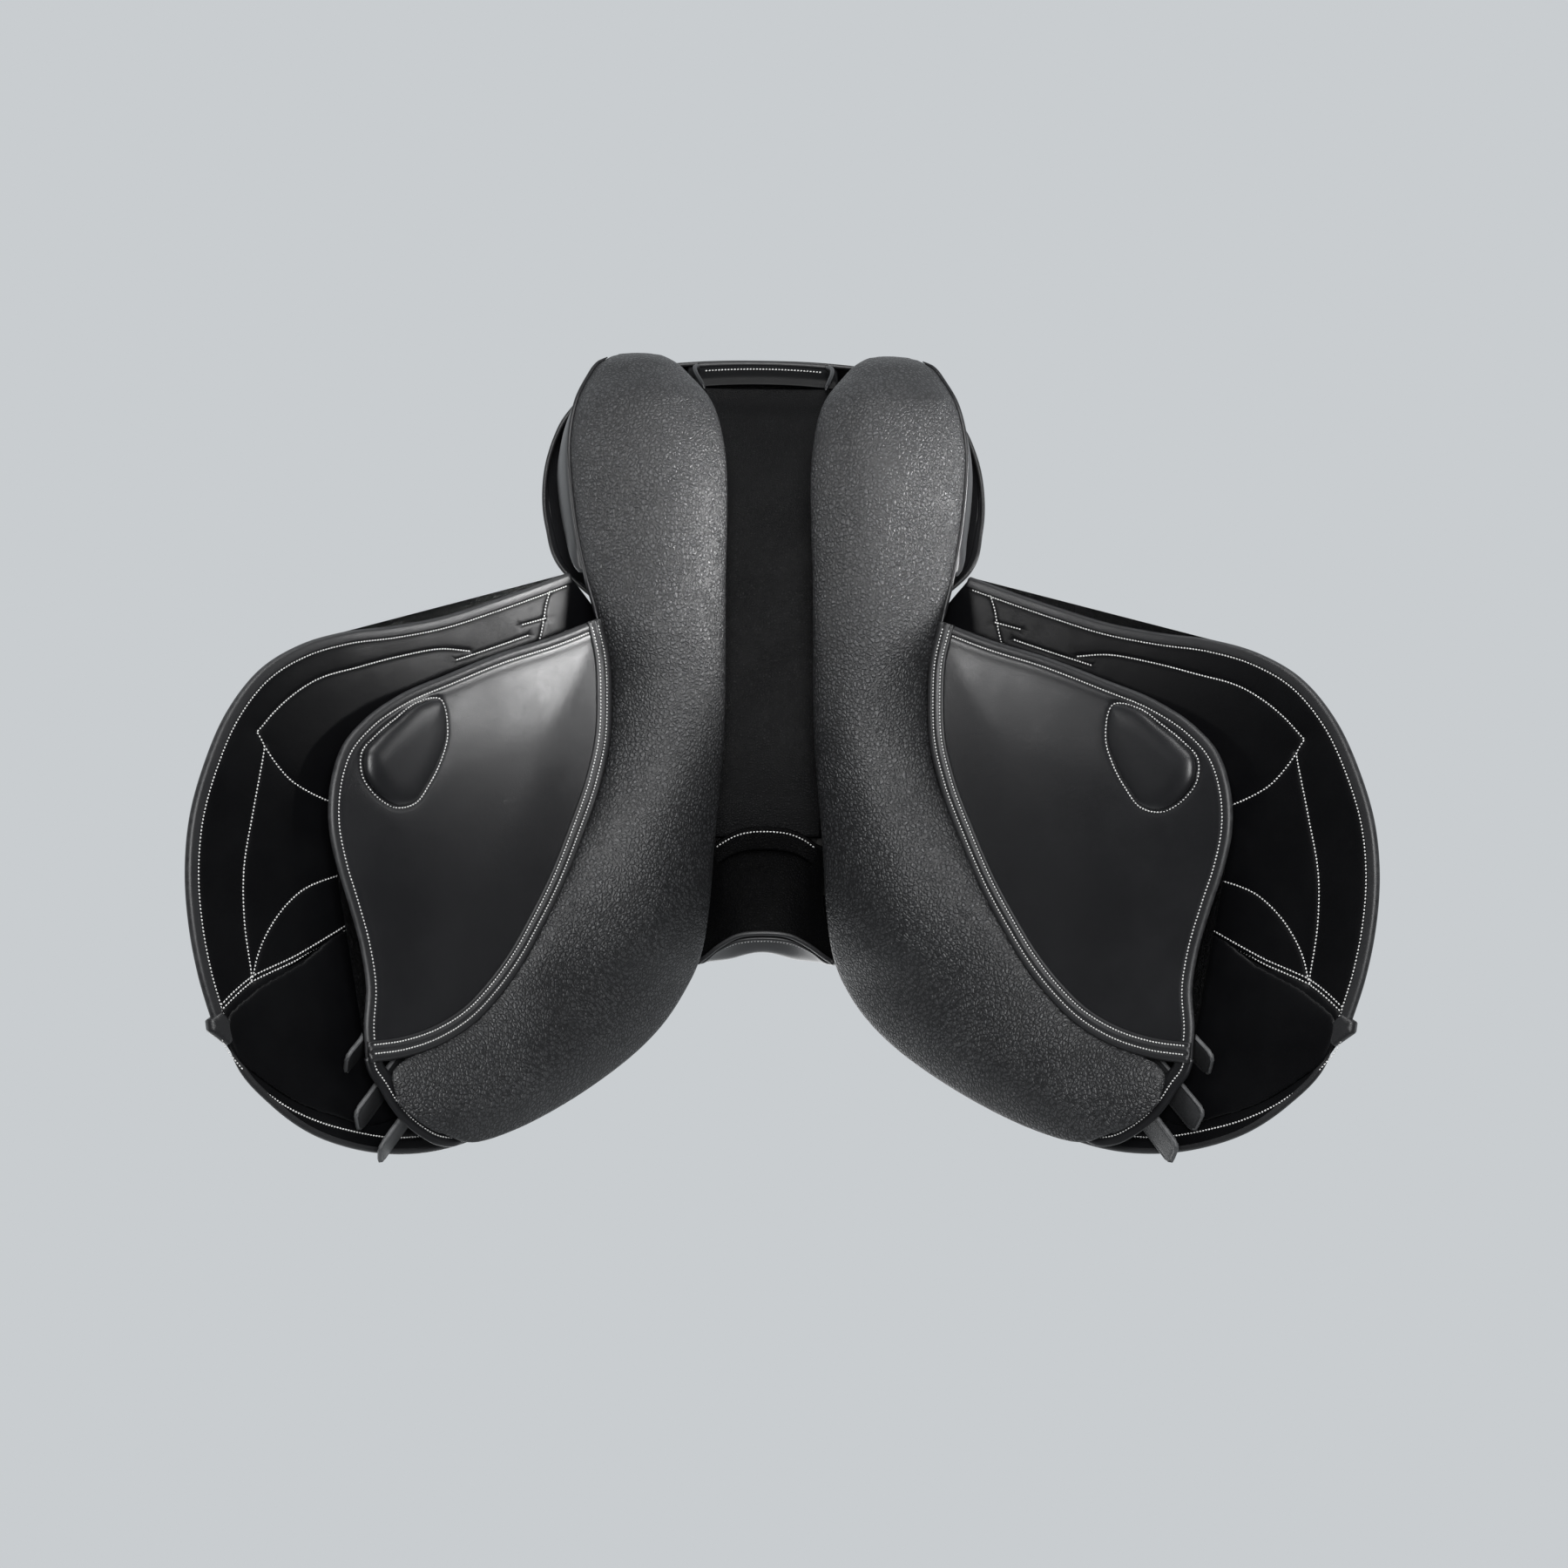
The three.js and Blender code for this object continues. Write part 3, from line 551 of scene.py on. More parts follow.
def grain_leather(name, dark=(0.008, 0.0082, 0.009), light=(0.040, 0.0408, 0.0432), cell=3.2, depth=0.0005, rough=(0.3, 0.45), spec=0.55):
    """Pebble-grained leather: rounded cells in two sizes, fine pores, slow variation of tone and polish. The base
    colour follows the cell height: a painted highlight on the cell tops and painted shade in the grooves between them.
    """
    N = Nodes(name)
    v = N.warp(260, 0.0016)
    e1 = N.voronoi(1000 / cell, vec=v)
    e2 = N.voronoi(1900 / cell, vec=v)
    h1 = N.ramp(e1, 0.0, 0.32, 0.0, 1.0)
    h2 = N.ramp(e2, 0.0, 0.3, 0.0, 0.35)
    pores = N.noise(3800, 2)
    wide = N.noise(26, 3, 0.55)
    amp = N.ramp(N.noise(17, 2), 0.3, 0.7, 0.6, 1.0)
    h = N.math("MULTIPLY", N.math("ADD", N.math("ADD", h1, h2), N.math("MULTIPLY", pores, 0.2)), amp)
    # base colour: painted highlight on the cell tops and painted shade in the grooves, times a slow random tone from
    # the wide noise
    N.link(N.mixc(N.math("MULTIPLY", N.ramp(h, 0.15, 1.05, 0.0, 1.0), N.ramp(wide, 0.25, 0.75, 0.7, 1.0)), dark, light), N.b.inputs["Base Color"])
    N.link(N.math("ADD", N.ramp(h, 0.0, 1.3, rough[1], rough[0]), N.ramp(wide, 0.2, 0.8, 0.05, -0.03)), N.b.inputs["Roughness"])
    N.b.inputs["Specular IOR Level"].default_value = spec
    N.link(N.bump(h, depth, 1.0), N.b.inputs["Normal"])
    return N.m


def calf_leather(name, dark=(0.0075, 0.0076, 0.0085), light=(0.0125, 0.0127, 0.014), rough=(0.3, 0.4), depth=0.00005, spec=0.5, coat=0.0):
    """Smooth satin calf: fine hair-cell pores, faint creases, slow variation of polish."""
    N = Nodes(name)
    pore = N.voronoi(1500, "F1", vec=N.warp(420, 0.0009))
    fine = N.noise(2600, 3, 0.6)
    slow = N.noise(14, 4, 0.6)
    crease = N.ramp(N.noise(90, 3, 0.6, 0.6), 0.35, 0.65, 0.0, 1.0)
    h = N.math("ADD", N.math("ADD", N.ramp(pore, 0.0, 0.5, 0.0, 0.6), N.math("MULTIPLY", fine, 0.35)), N.math("MULTIPLY", crease, 0.5))
    N.link(N.mixc(N.math("MULTIPLY", N.ramp(slow, 0.3, 0.7, 0.55, 1.0), N.ramp(fine, 0.2, 0.8, 0.7, 1.0)), dark, light), N.b.inputs["Base Color"])
    N.link(N.math("ADD", N.ramp(slow, 0.25, 0.75, rough[0], rough[1]), N.ramp(fine, 0.2, 0.8, -0.03, 0.03)), N.b.inputs["Roughness"])
    N.b.inputs["Specular IOR Level"].default_value = spec
    if coat:
        N.b.inputs["Coat Weight"].default_value = coat
        N.b.inputs["Coat Roughness"].default_value = 0.3
    N.link(N.bump(h, depth, 1.0), N.b.inputs["Normal"])
    return N.m


def edge_paint(name, dark=(0.016, 0.016, 0.017), light=(0.045, 0.046, 0.048), rough=0.42):
    """Cut edges, dyed and burnished: layers of leather show faintly and the dye is rubbed."""
    N = Nodes(name)
    worn = N.noise(160, 4, 0.65)
    fib = N.noise(1300, 3, 0.7)
    N.link(N.mixc(N.math("MULTIPLY", N.ramp(worn, 0.3, 0.7, 0.2, 1.0), N.ramp(fib, 0.2, 0.8, 0.5, 1.0)), dark, light), N.b.inputs["Base Color"])
    N.link(N.ramp(worn, 0.2, 0.8, rough - 0.07, rough + 0.1), N.b.inputs["Roughness"])
    N.link(N.bump(N.math("ADD", fib, N.math("MULTIPLY", worn, 0.8)), 0.00012, 1.0), N.b.inputs["Normal"])
    return N.m


def thread(name, dark=(0.5, 0.5, 0.49), light=(0.86, 0.86, 0.85)):
    """Waxed linen thread, twisted, a little soiled where it goes into the leather."""
    N = Nodes(name)
    soil = N.noise(420, 3, 0.6)
    twist = N.noise(5200, 2, 0.5, 1.5)
    N.link(N.mixc(N.math("MULTIPLY", N.ramp(soil, 0.3, 0.65, 0.35, 1.0), N.ramp(twist, 0.25, 0.75, 0.55, 1.0)), dark, light), N.b.inputs["Base Color"])
    N.link(N.ramp(twist, 0.2, 0.8, 0.5, 0.68), N.b.inputs["Roughness"])
    N.link(N.bump(twist, 0.00012, 1.0), N.b.inputs["Normal"])
    return N.m


def steel(name, tone=(0.52, 0.53, 0.54), rough=(0.16, 0.34)):
    N = Nodes(name)
    brush = N.noise(700, 4, 0.7)
    smear = N.noise(60, 3, 0.6)
    N.link(N.mixc(N.ramp(smear, 0.3, 0.7, 0.0, 1.0), tuple(0.82 * v for v in tone), tone), N.b.inputs["Base Color"])
    N.b.inputs["Metallic"].default_value = 1.0
    N.link(N.math("ADD", N.ramp(smear, 0.2, 0.8, *rough), N.ramp(brush, 0.2, 0.8, -0.03, 0.05)), N.b.inputs["Roughness"])
    N.link(N.bump(brush, 0.00002, 0.6), N.b.inputs["Normal"])
    return N.m


def webbing(name, warp=(0.036, 0.035, 0.034), weft=(0.016, 0.0158, 0.0155)):
    """Woven cotton web: warp ribs crossed by weft, with loose fibre."""
    N = Nodes(name)
    waves = []
    for axis, sc in (("X", 520), ("Y", 380)):
        w = N.t.nodes.new("ShaderNodeTexWave")
        w.bands_direction = axis
        w.inputs["Scale"].default_value = sc / 6.283
        w.inputs["Distortion"].default_value = 0.6
        N.link(N.co, w.inputs["Vector"])
        waves.append(w.outputs["Fac"])
    weave = N.math("MULTIPLY", waves[0], waves[1])
    fib = N.noise(2200, 3, 0.7)
    N.link(N.mixc(N.math("MULTIPLY", N.ramp(weave, 0.0, 0.8, 0.15, 1.0), N.ramp(fib, 0.2, 0.8, 0.6, 1.0)), weft, warp), N.b.inputs["Base Color"])
    N.link(N.ramp(fib, 0.2, 0.8, 0.8, 0.95), N.b.inputs["Roughness"])
    N.link(N.bump(N.math("ADD", weave, N.math("MULTIPLY", fib, 0.3)), 0.0004, 1.0), N.b.inputs["Normal"])
    return N.m


def wood(name):
    """Laminated beech of the tree, stained black and sealed."""
    N = Nodes(name)
    w = N.t.nodes.new("ShaderNodeTexWave")
    w.wave_type = "BANDS"
    w.bands_direction = "Z"
    w.inputs["Scale"].default_value = 110
    w.inputs["Distortion"].default_value = 2.2
    w.inputs["Detail"].default_value = 3
    N.link(N.co, w.inputs["Vector"])
    fib = N.noise(900, 4, 0.7)
    N.link(N.mixc(N.math("MULTIPLY", w.outputs["Fac"], N.ramp(fib, 0.2, 0.8, 0.6, 1.0)), (0.011, 0.0105, 0.0098), (0.027, 0.0255, 0.0235)), N.b.inputs["Base Color"])
    N.link(N.ramp(fib, 0.2, 0.8, 0.4, 0.6), N.b.inputs["Roughness"])
    N.link(N.bump(fib, 0.0001, 0.8), N.b.inputs["Normal"])
    return N.m


def foam(name):
    N = Nodes(name)
    v = N.voronoi(900, "F1")
    n = N.noise(60, 3)
    N.link(N.mixc(N.ramp(N.math("MULTIPLY", v, n), 0.05, 0.4, 0.0, 1.0), (0.028, 0.028, 0.029), (0.055, 0.055, 0.057)), N.b.inputs["Base Color"])
    N.link(N.ramp(n, 0.2, 0.8, 0.85, 0.97), N.b.inputs["Roughness"])
    N.link(N.bump(v, 0.0005, 1.0), N.b.inputs["Normal"])
    return N.m


M_GRAIN = grain_leather("grain_leather")
# the lining is a far darker copy of the grain leather: painted shade for the deep channel between the panels
M_LINING_PAINTED_SHADE = grain_leather("lining_leather", (0.0015, 0.0015, 0.0018), (0.0038, 0.0039, 0.0044), cell=1.9, depth=0.0003, rough=(0.45, 0.6), spec=0.14)
# the arch lining is the darkest copy of the grain leather: painted shade for the hollow under the front arch
M_ARCH_PAINTED_SHADE = grain_leather("arch_leather_painted_shade", (0.0007, 0.0007, 0.0008), (0.0018, 0.0018, 0.0021), cell=1.9, depth=0.0003, rough=(0.45, 0.6), spec=0.06)
M_CALF = calf_leather("calf_leather")
# the flap lining is a far darker copy of the calf leather: painted shade for the under faces of the flaps, the front
# pad and the rear facing
M_FLAPIN_PAINTED_SHADE = calf_leather("flap_lining_painted_shade", (0.0014, 0.0014, 0.0017), (0.003, 0.0031, 0.0036), rough=(0.34, 0.46), depth=0.00006, spec=0.14)
M_SEAT = calf_leather("seat_leather", (0.0085, 0.0086, 0.0094), (0.0135, 0.0137, 0.015), rough=(0.34, 0.46), depth=0.00009)
# binding leather is a lighter copy of the calf leather: painted highlight for the bindings, welts and rolled edges that
# catch the light
M_BIND_WITH_PAINTED_HIGHLIGHT = calf_leather("binding_leather_painted_highlight", (0.012, 0.0121, 0.013), (0.021, 0.0213, 0.0225), rough=(0.36, 0.46), depth=0.0001)
M_STRAP = calf_leather("bridle_leather", (0.014, 0.0142, 0.015), (0.026, 0.0265, 0.028), rough=(0.36, 0.5), depth=0.00012)
# edge paint, lighter than the leather faces: partly the burnished edge dye, partly a painted highlight of cut edges
# catching light
M_EDGE_DYE_AND_HIGHLIGHT = edge_paint("edge_paint")
M_STRAPEDGE = edge_paint("strap_edge", (0.05, 0.051, 0.053), (0.12, 0.122, 0.126), 0.5)
M_THREAD = thread("thread")
M_STEEL = steel("steel")
M_WEB = webbing("webbing")
M_WOOD = wood("beech")
M_FOAM = foam("foam")

for name, obj in list(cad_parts.items()):
    m = None
    if name.startswith(("gullet_plate", "gullet_rivet", "spring_steel", "stirrup_bar", "bar_catch", "catch_bracket", "saddle_nail", "dee_left", "dee_right")):
        m = M_STEEL
    elif name.startswith(("webbing", "billet_web")):
        m = M_WEB
    elif name.startswith("tree"):
        m = M_WOOD
    elif name == "seat_foam":
        m = M_FOAM
    else:
        m = M_CALF
    obj.data.materials.clear()
    obj.data.materials.append(m)
    for i in range(len(obj.material_slots)):
        obj.material_slots[i].material = m

SIDES = (("left", False), ("right", True))


def both(name, V, F, mats, body, fm=None, slot=None, replaces=None, padded=None, **k):
    """A piece for each side; the body and the CAD node take the side's name when they end in _."""
    out = []
    for sd, mir in SIDES:
        b = body + sd if body.endswith("_") else body
        o = make(name + "_" + sd, V, F, mats, b, fm, mirror=mir, **k)
        if replaces:
            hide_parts(*[r + "_" + sd for r in replaces])
        out.append(o)
    return out

# ------------------------------------------------------------------ outlines, (x, y) of the near side as seen from below
SWEAT = [
    [129, 130], [160, 112.5], [200, 93], [235, 73], [268, 53], [290, 33], [303, 14], [310, -12], [311, -40], [306, -68], [298, -95], [290, -125], [286, -152], [287, -180], [285, -202],
    [262, -198], [238, -188.5], [217, -173.5], [200, -154], [184, -130], [170, -103], [157, -75], [142, -35], [128.5, 7], [122, 40], [121, 72], [122.5, 101]]
THIGH = [[241, 54], [256, 50], [271, 36], [284, 22], [292, 10], [292, -4], [284, -18], [270, -26], [258, -21], [250, -8], [242, 10], [237, 30]]
FLAP = [
    [112, 118], [124, 134], [138, 151], [151, 166], [180, 150], [210, 134], [240, 119], [274, 106.5], [306, 97], [333, 84], [357, 64], [377, 32], [390, -5], [398, -42], [400, -78], [397, -115], [391, -147], [381, -182],
    [372, -188], [366, -205], [345, -231], [322, -249], [298, -259], [270, -264], [240, -262], [205, -250], [168, -227], [136, -192], [120, -150], [116, -105], [116, 14], [112, 18]]
KNEE = [[165, -86], [205, -86], [252, -118], [300, -165], [322, -205], [300, -238], [262, -248], [210, -235], [172, -205], [152, -165], [147, -126]]
ROWS = {"saddle": [], "flap_left": [], "flap_right": [], "skirt_left": [], "skirt_right": []}


def add_rows(body, rows):
    """Stitch rows for both sides: body is saddle, or the left flap or skirt."""
    ROWS[body] += rows


def groove(d, at, depth, w=1.1):
    return depth * np.exp(-(((d - at) / w) ** 2))


# ---- sweat flaps: one skin of calf, bound round its free edge, sewn to the panel along its curved inner edge
sw = curve(to_u(SWEAT, SWEAT_N), 2.2, True, corners={0, 14})
if area2(sw) < 0:
    sw = sw[::-1]
sw_pts = to_u(SWEAT, SWEAT_N)
seam_edge = curve(sw_pts[list(range(14, 27)) + [0]], 2.0)      # from the front corner up to the rear corner
free_edge = curve(sw_pts[0:15], 2.0)                          # round the outside
th = curve(to_u(THIGH, SWEAT_N), 1.6, True)


def sweat_front(P, d):
    bow = 3.2 * sm(d, 0, 70)
    f = dist(P, free_edge)
    pillow = 0.5 * np.exp(-((f - 9.5) / 3.0) ** 2)
    t = dist(P, th, True)
    ins = inside(P, th)
    well = np.where(ins, 0, groove(t, 0.0, 0.7, 2.2))
    return SWEAT_N - bow - pillow + groove(f, 7.0, 0.55) + well


sweat = Sheet(sw, sweat_front, lambda P, d: SWEAT_N + 3.6 - 3.0 * sm(d, 0, 70), lines=[th], grid=6.0,
              rings=(0.4, 1.2, 2.6, 4.4, 5.9, 7.0, 8.2, 9.8, 12.5, 16, 21))
V, F, fm = sweat.mesh()
both("sweat_flap_leather", V, F, [M_CALF], "saddle", slot="smooth_leather", replaces=["sweat_flap"])


def binding(name, path, closed, base, half, width, body, slot="smooth_leather", over=0.9, mat=None, inwards=1.0):
    """A folded strip of leather over an edge: its two wings lie on the sheet's faces."""
    N = path_normals(path, closed, 3) * inwards
    o = over
    prof = [(width, -half - 0.05), (width - 0.25, -half - o * 0.75), (width - 1.0, -half - o), (width * 0.6, -half - o * 1.25), (2.4, -half - o * 1.1), (1.1, -half - o * 0.75),
            (0.2, -half * 0.7 - o * 0.3), (-0.35, -half * 0.3), (-0.35, half * 0.3), (0.2, half * 0.7 + o * 0.3), (1.1, half + o * 0.75), (2.4, half + o),
            (width * 0.6, half + o), (width - 1.0, half + o * 0.9), (width - 0.2, half + o * 0.6), (width, half - 0.2), (width * 0.6, half - 0.6), (width * 0.6, -half + 0.6)]
    V, F = sweep(path, N, prof, 0, closed, height=base)
    K = len(prof)
    # the nose of the strip takes the edge paint, lighter than the strip: burnished edge dye and partly a painted
    # highlight on the rolled edge
    fm = []
    for f in F:
        ks = sorted({i % K for i in f})
        fm.append(1 if len(f) == 4 and min(ks) >= 5 and max(ks) <= 10 else 0)
    return both(name, V, F, [mat or M_BIND_WITH_PAINTED_HIGHLIGHT, M_EDGE_DYE_AND_HIGHLIGHT], body, fm, slot=slot)


def left_of(path, closed, probe_loop):
    """+1 if the left-hand normals point into the loop."""
    N = path_normals(path, closed, 3)
    k = len(path) // 2
    return 1.0 if inside((path + N * 3)[k : k + 1], probe_loop)[0] else -1.0


binding("sweat_flap_binding", free_edge, False, lambda P: np.full(len(P), SWEAT_N + 1.8), 1.85, 6.2, "saddle", inwards=left_of(free_edge, False, sw))


def sheet_rows(sh, path2, lift=0.0):
    p, n = sh.at(path2)
    return [(p + n * lift, n)]


def inset_path(path, closed, w, sgn, trim=0):
    q = path + path_normals(path, closed, 3) * sgn * w
    return q[trim : len(q) - trim] if trim else q


fs = left_of(free_edge, False, sw)
add_rows("saddle", sheet_rows(sweat, inset_path(free_edge, False, 7.1, fs, 4), 0.05))
ths = curve(to_u(THIGH, SWEAT_N), 1.6, True)
ths = np.concatenate([ths, ths[:1]])
add_rows("saddle", sheet_rows(sweat, ths, 0.1))

# ---- the seam band: two sewn folds side by side, with a ridge between them
ss = left_of(seam_edge, False, sw)
band_prof = [(-1.6, 1.0), (-1.9, -0.6), (-1.2, -2.3), (0.2, -3.3), (1.7, -3.5), (3.1, -2.9), (4.2, -2.1), (5.3, -2.75), (6.3, -3.35), (7.3, -3.75), (8.2, -3.3), (9.2, -2.5), (10.3, -1.75),
             (11.4, -2.1), (12.3, -1.9), (12.9, -1.2), (13.0, 0.3), (6.0, 0.8)]
V, F = sweep(seam_edge, path_normals(seam_edge, False, 3) * ss, band_prof, 0, False, height=lambda P: np.full(len(P), SWEAT_N))
both("sweat_seam_band", V, F, [M_BIND_WITH_PAINTED_HIGHLIGHT], "saddle", slot="smooth_leather")
for w, h in ((4.2, -2.25), (10.3, -1.9)):
    q = inset_path(seam_edge, False, w, ss, 2)
    p = side(q[:, 0], q[:, 1], SWEAT_N + h)
    add_rows("saddle", [(p, np.broadcast_to(np.array([-S, 0, -C]), p.shape))])

# ---- thigh pads: stuffed under the skin of the sweat flap, highest towards their outer end
tloop = curve(to_u(THIGH, SWEAT_N), 1.8, True)
tc = tloop.mean(0)
tloop_in = tc + (tloop - tc) * 0.975


def thigh_front(P, d):
    lean = 1 + 0.35 * (P[:, 0] - tc[0]) / 28
    return SWEAT_N - 2.2 - 4.6 * np.sqrt(np.clip(1 - (1 - np.clip(d / 17, 0, 1)) ** 2.1, 0, 1)) * lean


tp = Sheet(tloop_in, thigh_front, lambda P, d: np.full(len(P), SWEAT_N - 0.6), edge=2.0, grid=3.5, rings=(0.3, 0.8, 1.6, 3, 5, 7.5))
V, F, fm = tp.mesh()
both("thigh_pad_leather", V, F, [M_CALF], "saddle", slot="smooth_leather", replaces=["thigh_pad"], padded=0.8)

# ---- main flaps
fl_pts = to_u(FLAP, 0)
fl = curve(fl_pts, 2.4, True, corners={0, 3, 17, 18, 31})
LINES = {
    "A": ([(232, 88), (206, 101), (181, 114)], False),
    "B": ([(186, 121), (168, 129)], False),
    "C": ([(164, 153), (168, 140), (171, 122), (174, 107)], False),
    "D": ([(222, 96), (240, 95), (268, 86), (296, 74), (325, 60), (350, 35), (360, 20)], False),
    "E": ([(360, 20), (350, 2), (340, -10), (327, -18), (314, -23), (296, -26)], False),
    "F": ([(355, 12), (362, -35), (367, -75), (366, -110), (360, -150)], False),
    "G": ([(296, -68), (304, -72), (333, -88), (350, -112), (358, -134), (360, -150)], False),
    "H": ([(282, -96), (295, -106), (332, -133), (365, -154), (384, -177)], True),
    "K": ([(380, -177), (376, -194), (369, -204), (354, -221), (339, -233), (320, -243), (298, -250), (270, -255), (240, -253)], False),
}
lines2 = {k: curve(to_u(v[0], 0), 2.2) for k, v in LINES.items()}
bind_path = curve(fl_pts[3:18], 2.0)            # from the rear corner round to the notch
knee_edge = curve(fl_pts[18:28], 2.0)           # the padded front corner
pad_zone = np.concatenate([lines2["H"], curve(fl_pts[17:28], 3.0)])


def flap_front(P, d):
    h = np.zeros(len(P))
    for k, q in lines2.items():
        t = dist(P, q)
        h += {"K": 0.55, "H": 0.9}.get(k, 0.6) * np.exp(-((t / 1.5) ** 2))
        if k in "DEFGH":
            h += 0.5 * np.exp(-((t / 6.0) ** 2))
    b = dist(P, bind_path)
    h += groove(b, 8.6, 0.5)
    puff = 1.0 * sm(d, 2, 26)
    return 0.2 - puff + h


def flap_back(P, d):
    """The outer face: it rises gently off the plane over the first 20 mm in from the edge."""
    return 4.9 + 0.3 * sm(d, 0, 20)


flap = Sheet(fl, flap_front, flap_back, lines=list(lines2.values()), grid=6.5, rings=(0.4, 1.1, 2.4, 4.4, 6.4, 7.7, 8.6, 9.5, 11, 14, 18))
V, F, fm = flap.mesh(1.2)
nf = len(flap.F)
# under faces take the darkened calf copy (painted shade), outer faces the calf leather, cut edges the edge paint
fm2 = np.concatenate([np.where(fm[:nf] == 1, 2, 0), np.where(fm[nf:] == 1, 2, 1)])
both("flap_leather", V, F, [M_FLAPIN_PAINTED_SHADE, M_CALF, M_EDGE_DYE_AND_HIGHLIGHT], "flap_", fm2, slot="smooth_leather", replaces=["flap"])
for nm, path in (("flap_binding", bind_path),):
    binding(nm, path, False, lambda P: np.full(len(P), 2.55), 2.45, 7.6, "flap_", inwards=left_of(path, False, fl), over=0.7)
bs = left_of(bind_path, False, fl)
add_rows("flap_left", sheet_rows(flap, inset_path(bind_path, False, 8.5, bs, 3), 0.05))
for k, q in lines2.items():
    add_rows("flap_left", sheet_rows(flap, q, 0.08))
    if k == "H":
        add_rows("flap_left", sheet_rows(flap, inset_path(q, False, 3.4, 1.0, 2), 0.08))
# the outer face's own row, round the same edge
q = inset_path(bind_path, False, 8.5, bs, 3)
hb = flap.heights(q)[1]
add_rows("flap_left", [(side(q[:, 0], q[:, 1], hb + 0.05), np.broadcast_to(np.array([S, 0, C]), (len(q), 3)))])

# the welted front edge, and the small tab that covers the end of the binding at the notch
V, F = tube(side(knee_edge[:, 0], knee_edge[:, 1], np.full(len(knee_edge), 2.4)), 2.7, sides=10)
both("flap_front_welt", V, F, [M_BIND_WITH_PAINTED_HIGHLIGHT], "flap_", slot="smooth_leather")
tab = curve(to_u([(379, -170), (386, -176), (385, -184), (374, -193), (370, -187), (374, -176)], 0), 1.2, True, corners={0, 1, 2, 3, 4, 5})
tabs = Sheet(tab, lambda P, d: np.full(len(P), -1.9), lambda P, d: np.full(len(P), 6.2), edge=1.2, grid=3, rings=(0.4, 1.0))
V, F, fm = tabs.mesh()
both("flap_corner_tab", V, F, [M_BIND_WITH_PAINTED_HIGHLIGHT], "flap_", slot="smooth_leather")

# the stuffed front of the flap, under its own cover
kz = curve(to_u([(300, -112), (332, -136), (364, -160), (376, -176), (372, -196), (352, -217), (332, -231), (310, -240), (280, -246), (262, -236), (262, -180), (276, -130)], 0), 2.4, True)
kp = Sheet(kz, lambda P, d: -0.9 - 2.6 * np.sqrt(np.clip(1 - (1 - np.clip(d / 26, 0, 1)) ** 2, 0, 1)), lambda P, d: np.full(len(P), 0.6), edge=1.5, grid=5, rings=(0.5, 1.5, 3, 5.5, 9))
V, F, fm = kp.mesh()
# the front pad is in the darkened calf copy, painted shade
both("flap_front_pad", V, F, [M_FLAPIN_PAINTED_SHADE], "flap_", slot="smooth_leather", padded=0.7)

# ---- knee pads, on the outer face of each flap
kl = curve(to_u(KNEE, 9), 2.4, True)


def knee_back(P, d):
    return 5.6 + 8.3 * np.sqrt(np.clip(1 - (1 - np.clip(d / 30, 0, 1)) ** 2.2, 0, 1))


kn = Sheet(kl, lambda P, d: np.full(len(P), 5.35), knee_back, edge=1.2, grid=6, rings=(0.3, 0.8, 1.6, 3, 5, 8, 12, 17))
V, F, fm = kn.mesh()
both("knee_pad_leather", V, F, [M_GRAIN], "flap_", slot="grain_leather", replaces=["knee_pad"], padded=0.75)
wl = curve(to_u(KNEE, 9), 2.4, True)
V, F = tube(side(wl[:, 0], wl[:, 1], np.full(len(wl), 6.6)), 1.7, closed=True, sides=8)
both("knee_pad_welt", V, F, [M_BIND_WITH_PAINTED_HIGHLIGHT], "flap_", slot="smooth_leather")
q = inset_path(wl, True, 4.0, 1.0 if area2(wl) > 0 else -1.0)
hb = kn.heights(q)[1]
add_rows("flap_left", [(side(np.append(q[:, 0], q[0, 0]), np.append(q[:, 1], q[0, 1]), np.append(hb, hb[0]) + 0.1), np.broadcast_to(np.array([S, 0, C]), (len(q) + 1, 3)))])

# ---- tabs that hold the flaps to the tree, and the pockets of the tree's points
def side_block(name, u, y, n, mat, body, slot, node, r=1.2):
    loop = curve([(u[0] + 2, y[0]), (u[1] - 2, y[0]), (u[1], y[0] + 2), (u[1], y[1] - 2), (u[1] - 2, y[1]), (u[0] + 2, y[1]), (u[0], y[1] - 2), (u[0], y[0] + 2)], 1.8, True, corners=set(range(8)))
    sh = Sheet(loop, lambda P, d: np.full(len(P), n[0]), lambda P, d: np.full(len(P), n[1]), edge=min(r, (n[1] - n[0]) / 2), grid=6, rings=(0.3, 0.8, 1.5))
    V, F, fm = sh.mesh(1.0)
    both(name, V, F, [mat, M_EDGE_DYE_AND_HIGHLIGHT], body, fm, slot=slot, replaces=[node])


side_block("flap_tab_leather", (-14, -2), (20, 92), (0, 4), M_STRAP, "saddle", "bridle_leather", "flap_tab")
side_block("point_pocket_leather", (-12, 42), (-114, -84), (-18.6, -17.3), M_STRAP, "saddle", "lining_leather", "point_pocket", 0.6)

